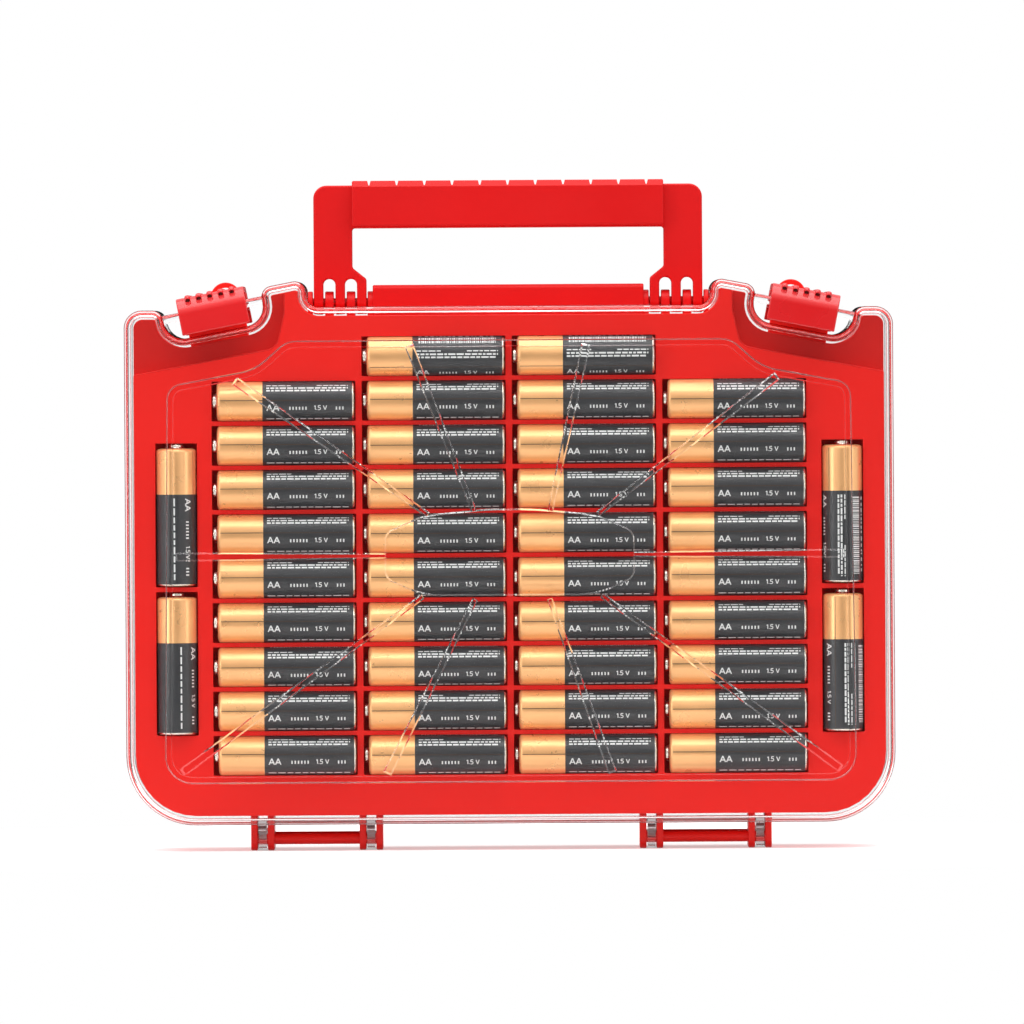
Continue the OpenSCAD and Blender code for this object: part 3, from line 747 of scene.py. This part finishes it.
def model_cell():
    """One AA cell along X with its nub at -X: can, sleeve, copper band and nub."""
    size = sizes()
    half, r = CELL_LENGTH / 2, CELL_R
    band = half - 1.3 - size.copper_length
    steps = [
        (half - 0.45, 0.9), (half - 0.4, 5.1), (half - 0.1, 5.5), (half, 5.9), (half, 6.45),
        (half - 0.12, 6.8), (half - 0.45, 7.02), (half - 0.75, 7.05), (half - 0.7, 7.14),
        (half - 0.85, 7.22), (half - 1.15, r), (-band, r), (-half + 3.0, r),
        (-half + 2.35, 7.2), (-half + 1.95, 6.95), (-half + 1.6, 6.4), (-half + 1.45, 5.7),
        (-half + 1.42, 5.3), (-half + 1.55, 5.2), (-half + 1.55, 3.6), (-half + 1.3, 3.2),
        (-half + 1.1, 2.85), (-half + 0.8, 2.7), (-half + 0.4, 2.7), (-half + 0.12, 2.55),
        (-half, 2.2), (-half, 0.8),
    ]
    piece = lathe("aa_cell", steps, size.cell_sides)
    for name in ("sleeve", "copper", "steel", "print"):
        piece.data.materials.append(MATERIALS[name])
    for polygon in piece.data.polygons:
        x = polygon.center.x / MM
        away = Vector(polygon.center[1:]).length / MM
        if x > half - 0.72 and away < 7.1 or x < -half + 1.6 and away < 5.25:
            polygon.material_index = 2
        elif x < -band:
            polygon.material_index = 1
    finish_mesh(piece, 40, level=False)
    marks = sleeve_print(-band + 1.4, half - 2.2)
    marks.data.materials.append(MATERIALS["print"])
    # A thin dark strip along the front of the cell, over band and sleeve: a painted reflection
    points, faces = [], []
    mark(points, faces, -half + 2.6, 0.2, half - 1.2, 0.2, 0.24)
    seam = marks_piece("film_seam", points, faces)
    seam.data.materials.append(MATERIALS["seam"])
    pick(marks)
    seam.select_set(True)
    piece.select_set(True)
    bpy.context.view_layer.objects.active = piece
    bpy.ops.object.join()
    return piece


class CASE_OT_cells(bpy.types.Operator):
    """Model one AA cell and lay a copy in each seat"""

    bl_idname = "case.cells"
    bl_label = "AA cells"

    def execute(self, context):
        master = model_cell()
        lean = random.Random(5)
        for node in sorted(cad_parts):
            if not node.startswith("aa_cell"):
                continue
            low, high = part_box(node)
            roll = lean.uniform(-0.05, 0.05)
            if node in ("aa_cell_b01", "aa_cell_c01"):
                roll -= 0.62  # these two show the bars
            place = Matrix.Translation((low + high) / 2)
            upright = high.z - low.z > high.x - low.x
            if upright:
                place = place @ Matrix.Rotation(math.radians(90), 4, "Y")
                roll = (0.95 if "left" in node else -0.75) + (0.3 if "lower" in node else 0)
            place = place @ Matrix.Rotation(-roll, 4, "X")
            piece = bpy.data.objects.new(node + "_dressed", master.data.copy())
            context.scene.collection.objects.link(piece)
            piece.data.transform(place)
            dress(piece, None, "case", "cell_sleeve", node)
        bpy.data.objects.remove(master)
        return {"FINISHED"}


# Red mouldings


PIVOT_Z = 195.8
FOOT_IN, LEG_IN, HANDLE_HALF = 50.7, 55.7, 69.6
FINGER, SLOT, SLOT_TOP = 3.43, 4.3, 204.2
GRIP_LOW, GRIP_TOP = 222.3, 239.3
BARREL_R = 4.2
TRAY_TOP, TRAY_Z = 191.1, 12.8
BAR_HALF = 48.5


def finger_x(k):
    """Inner side of one of the three fingers of a foot."""
    return FOOT_IN + k * (FINGER + SLOT)


def handle_frame():
    """The flat frame of the handle: legs, mouth and slotted feet, down to the pivot."""
    half = [(LEG_IN, GRIP_LOW + 0.02, 1.0), (LEG_IN, 208.2, 1.5), (FOOT_IN, SLOT_TOP, 1.5),
            (FOOT_IN, PIVOT_Z, 0.1)]
    for k in (0, 1):
        x = finger_x(k) + FINGER
        half += [(x, PIVOT_Z, 0.1), (x, SLOT_TOP, 2.1), (x + SLOT, SLOT_TOP, 2.1),
                 (x + SLOT, PIVOT_Z, 0.1)]
    half += [(HANDLE_HALF, PIVOT_Z, 0.1), (HANDLE_HALF, GRIP_TOP - 1.6, 4.7)]
    return rolled("handle_moulding", both_sides(half), -BARREL_R, BARREL_R, 0.7)


def grip_form():
    """The thicker grip, with V-shaped notches over its top."""
    section = [(-7.5, GRIP_LOW, 1.6), (7.5, GRIP_LOW, 1.6), (7.5, GRIP_TOP - 2.1, 0.25),
               (6.2, GRIP_TOP, 0.6), (-6.2, GRIP_TOP, 0.6), (-7.5, GRIP_TOP - 2.1, 0.25)]
    grip = rolled("grip", section, -LEG_IN - 0.02, LEG_IN + 0.02, 0.5, across)
    cutters = []
    for k in range(-5, 6):
        x = 9.93 * k
        vee = [(x - 0.9, GRIP_TOP + 1), (x - 0.2, GRIP_TOP - 1.7), (x + 0.2, GRIP_TOP - 1.7),
               (x + 0.9, GRIP_TOP + 1)]
        over = [(x, -9, z) for x, z in vee], [(x, 9, z) for x, z in vee]
        cutters.append(solid("notch", *over))
    return boolean(grip, join(cutters[0], cutters), "DIFFERENCE")


class CASE_OT_handle(bpy.types.Operator):
    """Model the handle: a flat frame, a notched grip and the barrels of its feet"""

    bl_idname = "case.handle"
    bl_label = "Handle"

    def execute(self, context):
        piece = handle_frame()
        boolean(piece, grip_form(), "UNION")
        for side in (-1, 1):
            for k in range(3):
                x = finger_x(k)
                x0, x1 = sorted((side * (x + 0.04), side * (x + FINGER - 0.04)))
                barrel = round_bar("barrel", BARREL_R - 0.04, x0, x1, 0, PIVOT_Z, 0.4)
                boolean(piece, barrel, "UNION")
            x0, x1 = sorted((side * (FOOT_IN - 1), side * (HANDLE_HALF + 1)))
            boolean(piece, round_bar("bore", 1.68, x0, x1, 0, PIVOT_Z), "DIFFERENCE")
        finish_mesh(piece)
        dress(piece, "handle", "handle", "red_handle", "handle")
        return {"FINISHED"}


def shoulder_line(x):
    """Height of the slanting step under a shoulder of the tray."""
    return LATCH_Z - 18.4 - (x - LATCH_X) * math.tan(TILT)


class CASE_OT_tray(bpy.types.Operator):
    """Join the tray's block and shoulders, round their edges and give them their red, with a
    darker red painted on the shoulders as the shade of their recess
    """

    bl_idname = "case.tray"
    bl_label = "Tray"

    def execute(self, context):
        piece = merged_copy("tray", "tray_moulding")
        boolean(piece, merged_copy("tray_shoulders", "shoulders"), "UNION")
        edit(piece)
        bpy.ops.mesh.remove_doubles(threshold=0.01 * MM)
        bpy.ops.mesh.dissolve_limited(angle_limit=math.radians(0.6))
        bevel_all(piece, sizes().edge_round, 40)
        finish_mesh(piece)
        dress(piece, "tray", "case", "red_tray", "tray", "tray_shoulders")
        # The second material is painted shade: the shoulders' faces that face a lid get the darker
        # red of their recess
        piece.data.materials.append(MATERIALS["shoulder"])
        for polygon in piece.data.polygons:
            x, z = abs(polygon.center.x) / MM, polygon.center.z / MM
            faces_lid = abs(polygon.normal.y) > 0.9
            if faces_lid and x > RECESS_X + 4 and z > shoulder_line(x):
                polygon.material_index = 1
        return {"FINISHED"}


def knuckle(x0, x1):
    """A knuckle of the tray: a round top on a block, between two places along X."""
    r = BARREL_R - 0.18
    x0, x1 = sorted((x0, x1))
    section = [(-r, TRAY_TOP - 2, 0.05), (r, TRAY_TOP - 2, 0.05), (r, PIVOT_Z + r, r - 0.05),
               (-r, PIVOT_Z + r, r - 0.05)]
    piece = rolled("knuckle", section, x0, x1, 0.4, across)
    return boolean(piece, round_bar("bore", 1.62, x0 - 1, x1 + 1, 0, PIVOT_Z), "DIFFERENCE")


class CASE_OT_mount(bpy.types.Operator):
    """Model the middle bar and the knuckles that carry the handle"""

    bl_idname = "case.mount"
    bl_label = "Handle mount"

    def execute(self, context):
        w, low, top = 4.5, TRAY_TOP - 2, 202
        section = [(-w, low, 0.1), (w, low, 0.1), (w, top, 1.6), (-w, top, 1.6)]
        piece = rolled("handle_mount_moulding", section, -BAR_HALF, BAR_HALF, 0.5, across)
        forms = []
        for side in (-1, 1):
            forms.append(knuckle(side * (BAR_HALF - 1), side * (BAR_HALF + 1.85)))
            forms.append(knuckle(side * (HANDLE_HALF + 0.35), side * (RECESS_X - 0.35)))
            for k in (0, 1):
                x = finger_x(k) + FINGER + 0.6
                forms.append(knuckle(side * x, side * (x + SLOT - 1.2)))
        join(piece, forms)
        finish_mesh(piece)
        dress(piece, "handle", "case", "red_tray", "handle_mount")
        return {"FINISHED"}


class CASE_OT_cheeks(bpy.types.Operator):
    """Model the cheeks under the tray that carry the hinge rods"""

    bl_idname = "case.cheeks"
    bl_label = "Hinge cheeks"

    def execute(self, context):
        section = both_sides([(15.3, 0, 3), (15.3, TRAY_Z + 2, 0.1)])
        forms = []
        for hinge in (-HINGE_X, HINGE_X):
            for side in (-1, 1):
                for k in (0, 1):
                    outer = hinge + side * (CHEEK_X - k * 6)
                    x0, x1 = sorted((outer, outer - side * CHEEK))
                    forms.append(rolled("cheek", section, x0, x1, 0.4, across))
                    for y in (-ROD_Y, ROD_Y):
                        hole = round_bar("bore", 1.97, x0 - 1, x1 + 1, y, ROD_Z)
                        boolean(forms[-1], hole, "DIFFERENCE")
        piece = join(forms[0], forms)
        piece.name = "hinge_cheeks_moulding"
        finish_mesh(piece)
        dress(piece, "tray", "case", "red_tray", "hinge_cheeks")
        return {"FINISHED"}


def latch_place(side, turned=False):
    """Where the frame of a latch goes: on the right (1) or left (-1), or turned to the
    other face."""
    place = Matrix.Translation(Vector((side * LATCH_X, 0, LATCH_Z)) * MM)
    place = place @ Matrix.Rotation(side * TILT, 4, "Y")
    return Matrix.Rotation(math.pi, 4, "Z") @ place if turned else place


class CASE_OT_catches(bpy.types.Operator):
    """Model the catch block and the lock eye in each notch"""

    bl_idname = "case.catches"
    bl_label = "Catches"

    def execute(self, context):
        low, top = -13.2, 0.75
        forms = []
        for side in (-1, 1):
            section = [(-6, low, 0.1), (6, low, 0.1), (6, top, 0.6), (-6, top, 0.6)]
            block = rolled("catch", section, -10.5, 10.5, 0.5, across)
            for y in (-4.9, 4.9):
                boolean(block, round_bar("bead", 0.8, -10.4, 10.4, y, top, 0.3), "UNION")
            u, v, r = -5.0, top + 2.9, 5.4
            arch = [(u - r, low, 0.1), (u + r, low, 0.1), (u + r, v + r, r - 0.01),
                    (u - r, v + r, r - 0.01)]
            eye = rolled("eye", arch, -1.2, 1.2, 0.4)
            hole = [(u - 3.5, v - 3.5, 3.49), (u + 3.5, v - 3.5, 3.49),
                    (u + 3.5, v + 3.5, 3.49), (u - 3.5, v + 3.5, 3.49)]
            through = solid("hole", flat(rounded(hole), -3), flat(rounded(hole), 3))
            boolean(eye, through, "DIFFERENCE")
            boolean(eye, block, "UNION")
            if side < 0:
                eye.data.transform(Matrix.Rotation(math.pi, 4, "Z"))
            eye.data.transform(latch_place(side))
            forms.append(eye)
        piece = join(forms[0], forms)
        piece.name = "latch_catches_moulding"
        finish_mesh(piece)
        dress(piece, "tray", "case", "red_tray", "latch_catches")
        return {"FINISHED"}


def model_latch():
    """One latch in its own frame: a rolled top with five ridges, a flat thumb tab, and the
    lip that snaps over the catch."""
    body = [(-33.2, -6.9, 0.6), (-31.1, -6.9, 0.6), (-31.1, -2.4, 0.4), (-26.9, -2.4, 2),
            (-26.9, 4.2, 1), (-4.15, 4.2, 0.5), (-3.55, 1.9, 0.3), (-1.55, 1.9, 0.3),
            (-1.55, 6.3, 1.2), (-33.2, 6.3, 6)]
    ridge = [(-32.5, 2.6, 0.3), (-7, 5, 0.3), (-7, 7, 0.8), (-32.5, 7, 1.3)]
    piece = rolled("latch", body, -12.25, 12.25, 0.4, across)
    for k in range(-2, 3):
        form = rolled("ridge", ridge, 4 * k - 1.0, 4 * k + 1.0, 0.75, across)
        boolean(piece, form, "UNION")
        u, v = 4 * k, 5.1
        mouth = [(u - 0.8, v - 0.5, 0.3), (u + 0.8, v - 0.5, 0.3), (u + 0.8, v + 0.6, 0.58),
                 (u - 0.8, v + 0.6, 0.58)]
        hollow = solid("hollow", flat(rounded(mouth), -34), flat(rounded(mouth), -29.5))
        boolean(piece, hollow, "DIFFERENCE")
    boolean(piece, round_bar("bore", 1.58, -14, 14, -LATCH_PIN_Y, 0), "DIFFERENCE")
    return piece


class CASE_OT_latches(bpy.types.Operator):
    """Model one latch and place a copy of it in each notch"""

    bl_idname = "case.latches"
    bl_label = "Latches"

    def execute(self, context):
        master = model_latch()
        for face, side, name in (("back", -1, "left"), ("back", 1, "right"),
                                 ("front", 1, "left"), ("front", -1, "right")):
            node = f"{face}_latch_{name}"
            piece = bpy.data.objects.new(node + "_moulding", master.data.copy())
            context.scene.collection.objects.link(piece)
            piece.data.transform(latch_place(side, face == "front"))
            finish_mesh(piece)
            dress(piece, "latch", node, "red_latch", node)
        bpy.data.objects.remove(master)
        return {"FINISHED"}


class CASE_OT_pins(bpy.types.Operator):
    """Give the hinge rods and the handle pins their moulded finish"""

    bl_idname = "case.pins"
    bl_label = "Rods and pins"

    def execute(self, context):
        for node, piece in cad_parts.items():
            if "hinge_rod" in node or "handle_pin" in node:
                piece.data.materials.clear()
                piece.data.materials.append(MATERIALS["tray"])
        return {"FINISHED"}


# Lids


def raised(name, inset, low, high):
    """The raised panel, or the hollow under it: a form with steep sides."""
    slope = 0.4
    run = slope / (PANEL_Y - RIM_Y)
    return solid(
        name,
        flat(rounded(PANEL_OUTLINE, inset - run), -low + 1),
        flat(rounded(PANEL_OUTLINE, inset + slope), -high),
    )


def on_plane(y):
    """Picks the edges that lie in one plane across the depth."""
    return lambda a, b: abs(a.y - y) < 0.01 and abs(b.y - y) < 0.01


def ridge_form(g):
    """One ridge of the panel: a long low roof, wide outside and narrow at the badge."""
    a, b = Vector(g[:2]), Vector(g[2:])
    n = left_of(a, b)
    along = (b - a).normalized()
    a = a - along * 1.2
    foot, peak = -PANEL_Y + 0.5, -PANEL_Y - sizes().ridge_height
    wide, narrow, run = 1.9, 1.3, 0.75
    base = [a + n * wide, a - n * wide, b - n * narrow, b + n * narrow]
    a, b = a + along * 1.2, b - along * 0.2
    wide, narrow = wide - run, narrow - run
    top = [a + n * wide, a - n * wide, b - n * narrow, b + n * narrow]
    ridge = solid("ridge", flat(base, foot), flat(top, peak))
    return bevel_where(ridge, on_plane(peak), 0.2, 2)


def lug_form(x):
    """A hinge lug: a claw from the lid's lower edge round the rod."""
    w, r, top = 2.9, 3.4, LID_Z + 1.8
    round_about = [math.radians(7.5 * k) for k in range(48)]
    profile = [(p.x, p.y) for p in rounded([
        (-ROD_Y - 0.7 * r, ROD_Z - 0.6 * r, 0.3), (-ROD_Y + r, ROD_Z, 0.3),
        (-ROD_Y + r, ROD_Z + 0.9 * r, 1.5), (-ROD_Y + 1, top, 1.5),
        (-SKIRT_Y - 9, top, 0.3), (-SKIRT_Y - 8, LID_Z + 0.2, 0.3)])]
    piece = solid("lug", across(profile, x - w / 2), across(profile, x + w / 2))
    barrel = [(-ROD_Y + r * math.cos(t), ROD_Z + r * math.sin(t)) for t in round_about]
    boolean(piece, solid("barrel", across(barrel, x - w / 2), across(barrel, x + w / 2)), "UNION")
    bore = [(-ROD_Y + 2.03 * math.cos(t), ROD_Z + 2.03 * math.sin(t)) for t in round_about]
    boolean(piece, solid("bore", across(bore, x - w), across(bore, x + w)), "DIFFERENCE")
    return piece


def pin_form(side, u0, u1):
    """A clear pin along the tilted line of a latch, between two places on it."""
    deselect()
    x0, z0 = at_latch(u0, 0)
    x1, z1 = at_latch(u1, 0)
    a = Vector((side * x0, -LATCH_PIN_Y, z0)) * MM
    b = Vector((side * x1, -LATCH_PIN_Y, z1)) * MM
    turned = (b - a).to_track_quat("Z", "Y").to_euler()
    bpy.ops.mesh.primitive_cylinder_add(
        vertices=32, radius=1.5 * MM, depth=(b - a).length, location=(a + b) / 2, rotation=turned
    )
    bpy.ops.object.transform_apply(location=True, rotation=True, scale=True)
    return bpy.context.object


def model_lid():
    """The clear lid over the back face."""
    size = sizes()
    wall = size.lid_wall
    piece = solid(
        "back_lid_clear",
        flat(rounded(LID_OUTLINE), -SKIRT_Y),
        flat(rounded(LID_OUTLINE), -RIM_Y),
    )
    bevel_where(piece, on_plane(-RIM_Y), size.rim_round, 5)
    panel = raised("panel", 0.0, RIM_Y, PANEL_Y)
    bevel_where(panel, on_plane(-PANEL_Y), 0.3, 2)
    boolean(piece, panel, "UNION")
    hollow = solid(
        "hollow",
        flat(rounded(LID_OUTLINE, wall), 0),
        flat(rounded(LID_OUTLINE, wall), wall - RIM_Y),
    )
    bevel_where(hollow, on_plane(wall - RIM_Y), 0.8, 3)
    boolean(hollow, raised("hollow_panel", wall + 0.4, RIM_Y - wall, PANEL_Y - wall), "UNION")
    boolean(piece, hollow, "DIFFERENCE")
    badge = solid(
        "badge",
        flat(rounded(BADGE_OUTLINE), 0.5 - PANEL_Y),
        flat(rounded(BADGE_OUTLINE, 1.0), -PANEL_Y - size.ridge_height),
    )
    for g in RIDGES:
        boolean(badge, ridge_form(g), "UNION")
    boolean(piece, badge, "UNION")
    lug_x = CHEEK_X - CHEEK - 0.35 - 1.45
    for side in (-1, 1):
        for k in (-1, 1):
            boolean(piece, lug_form(side * HINGE_X + k * lug_x), "UNION")
        for u0, u1 in ((-18.8, -9.45), (9.45, 18.8)):
            boolean(piece, pin_form(side, u0, u1), "UNION")
    return finish_mesh(piece, 30)


class CASE_OT_lids(bpy.types.Operator):
    """Model the clear lid and turn a copy of it to the other face"""

    bl_idname = "case.lids"
    bl_label = "Clear lids"

    def execute(self, context):
        back = model_lid()
        front = bpy.data.objects.new("front_lid_clear", back.data.copy())
        context.scene.collection.objects.link(front)
        front.data.transform(Matrix.Rotation(math.pi, 4, "Z"))
        dress(back, "lid", "back_lid", "clear_lid", "back_lid")
        dress(front, "lid", "front_lid", "clear_lid", "front_lid")
        return {"FINISHED"}


# Stage


PHOTO_PIXELS, PIXELS_PER_MM = 1024, 2.8


def soft_lamp(name, place, aim, width, height, power):
    """A soft box of width by height metres and a power in watts, aimed at a point."""
    data = bpy.data.lights.new(name, "AREA")
    data.shape = "RECTANGLE"
    data.size, data.size_y, data.energy = width, height, power
    lamp = bpy.data.objects.new(name, data)
    lamp.location = place
    lamp.rotation_euler = (Vector(aim) - Vector(place)).to_track_quat("-Z", "Y").to_euler()
    bpy.context.scene.collection.objects.link(lamp)
    return lamp


def white_floor():
    """Seamless white paper: white to the camera and in glass and metal, with the shadow."""
    material, tree, out, _ = new_material("white_studio_paper")
    paper = add_node(tree, "ShaderNodeBsdfDiffuse", {"Color": (0.9, 0.9, 0.9, 1)})
    path = add_node(tree, "ShaderNodeLightPath")
    seen = add_node(
        tree, "ShaderNodeMath",
        {0: 1.0, 1: path.outputs["Is Diffuse Ray"]},
        operation="SUBTRACT",
    )
    lift = add_node(tree, "ShaderNodeMath", {0: seen.outputs[0], 1: 0.42}, operation="MULTIPLY")
    glow = add_node(
        tree, "ShaderNodeEmission", {"Color": (1, 1, 1, 1), "Strength": lift.outputs[0]}
    )
    both = add_node(tree, "ShaderNodeAddShader", {0: paper.outputs[0], 1: glow.outputs[0]})
    tree.links.new(both.outputs[0], out.inputs["Surface"])
    return material


def studio_world():
    """A white studio: white to the camera, through glass and in reflections, but for the
    dark ends of the room that the two flat faces look at, which keeps them clear."""
    world = bpy.data.worlds.new("white_studio")
    world.use_nodes = True
    bpy.context.scene.world = world
    tree = world.node_tree
    tree.nodes.clear()
    out = add_node(tree, "ShaderNodeOutputWorld")
    path = add_node(tree, "ShaderNodeLightPath")
    way = add_node(tree, "ShaderNodeTexCoord").outputs["Generated"]
    depth = add_node(tree, "ShaderNodeSeparateXYZ", {0: way}).outputs["Y"]
    ends = add_node(tree, "ShaderNodeMath", {0: depth}, operation="ABSOLUTE").outputs[0]
    level = add_node(tree, "ShaderNodeMapRange", {"Value": ends, 1: 0.9, 2: 0.99, 3: 1.0, 4: 0.03})
    mirrored = add_node(
        tree, "ShaderNodeBackground", {"Color": (1, 1, 1, 1), "Strength": level.outputs[0]}
    )
    plain = add_node(tree, "ShaderNodeBackground", {"Color": (1, 1, 1, 1), "Strength": 1.0})
    soft = add_node(tree, "ShaderNodeBackground", {"Color": (1, 1, 1, 1), "Strength": 0.62})
    shown = add_node(
        tree, "ShaderNodeMixShader",
        {0: path.outputs["Glossy Depth"], 1: plain.outputs[0], 2: mirrored.outputs[0]},
    )
    mix = add_node(
        tree, "ShaderNodeMixShader",
        {0: path.outputs["Is Diffuse Ray"], 1: shown.outputs[0], 2: soft.outputs[0]},
    )
    tree.links.new(mix.outputs[0], out.inputs["Surface"])


class CASE_OT_stage(bpy.types.Operator):
    """Set up the camera, the floor and the soft studio light"""

    bl_idname = "case.stage"
    bl_label = "Stage"

    def execute(self, context):
        scene = context.scene
        scene.view_settings.view_transform = "Standard"
        distance = 6.0
        width = PHOTO_PIXELS / PIXELS_PER_MM * MM
        data = bpy.data.cameras.new("camera")
        data.sensor_width = 36
        data.lens = 36 * distance / width
        camera = bpy.data.objects.new("camera", data)
        aim = Vector((0.9, -20, 120.6)) * MM
        rise, roll = math.radians(0.6), math.radians(-0.35)
        camera.location = aim + distance * Vector((0, -math.cos(rise), math.sin(rise)))
        level = (aim - camera.location).to_track_quat("-Z", "Y")
        camera.rotation_euler = (level @ Quaternion((0, 0, 1), roll)).to_euler()
        scene.collection.objects.link(camera)
        scene.camera = camera

        deselect()
        bpy.ops.mesh.primitive_circle_add(
            vertices=96, radius=0.3, fill_type="NGON", location=(0, 0.02, 0)
        )
        bpy.ops.object.transform_apply(location=True)
        floor = context.object
        floor.name = "floor"
        floor.data.materials.append(white_floor())
        studio_world()
        soft_lamp("ceiling", (-0.1, -0.1, 0.95), (-0.1, -0.1, 0), 1.2, 0.8, 8)
        soft_lamp("strip_above", (0, -0.9, 1.3), (0, 0, 0.12), 2.0, 0.25, 7)
        soft_lamp("strip_left", (-1.4, -0.9, 0.35), (0, 0, 0.12), 0.25, 1.2, 5)
        soft_lamp("strip_right", (1.4, -0.9, 0.35), (0, 0, 0.12), 0.25, 1.2, 3)
        return {"FINISHED"}


# Panel and start


class CASE_PT_sidebar(bpy.types.Panel):
    """Lists the case's pieces, sizes and colours"""

    bl_label = "Battery case"
    bl_idname = "CASE_PT_sidebar"
    bl_space_type = "VIEW_3D"
    bl_region_type = "UI"
    bl_category = "Case"

    def draw(self, context):
        layout = self.layout
        for operator in OPERATORS:
            layout.operator(operator.bl_idname)
        for group in (context.scene.case_sizes, context.scene.case_colours):
            column = layout.column()
            for name in group.__annotations__:
                column.prop(group, name)


OPERATORS = (
    CASE_OT_stage,
    CASE_OT_cells,
    CASE_OT_tray,
    CASE_OT_mount,
    CASE_OT_cheeks,
    CASE_OT_catches,
    CASE_OT_handle,
    CASE_OT_latches,
    CASE_OT_pins,
    CASE_OT_lids,
)
CLASSES = (CaseSizes, CaseColours, *OPERATORS, CASE_PT_sidebar)


def register():
    for cls in CLASSES:
        bpy.utils.register_class(cls)
    bpy.types.Scene.case_sizes = PointerProperty(type=CaseSizes)
    bpy.types.Scene.case_colours = PointerProperty(type=CaseColours)


def unregister():
    del bpy.types.Scene.case_sizes
    del bpy.types.Scene.case_colours
    for cls in reversed(CLASSES):
        bpy.utils.unregister_class(cls)


def main():
    register()
    make_materials()
    bpy.ops.case.stage()
    bpy.ops.case.cells()
    bpy.ops.case.tray()
    bpy.ops.case.mount()
    bpy.ops.case.cheeks()
    bpy.ops.case.catches()
    bpy.ops.case.handle()
    bpy.ops.case.latches()
    bpy.ops.case.pins()
    bpy.ops.case.lids()


if __name__ == "__main__":
    main()
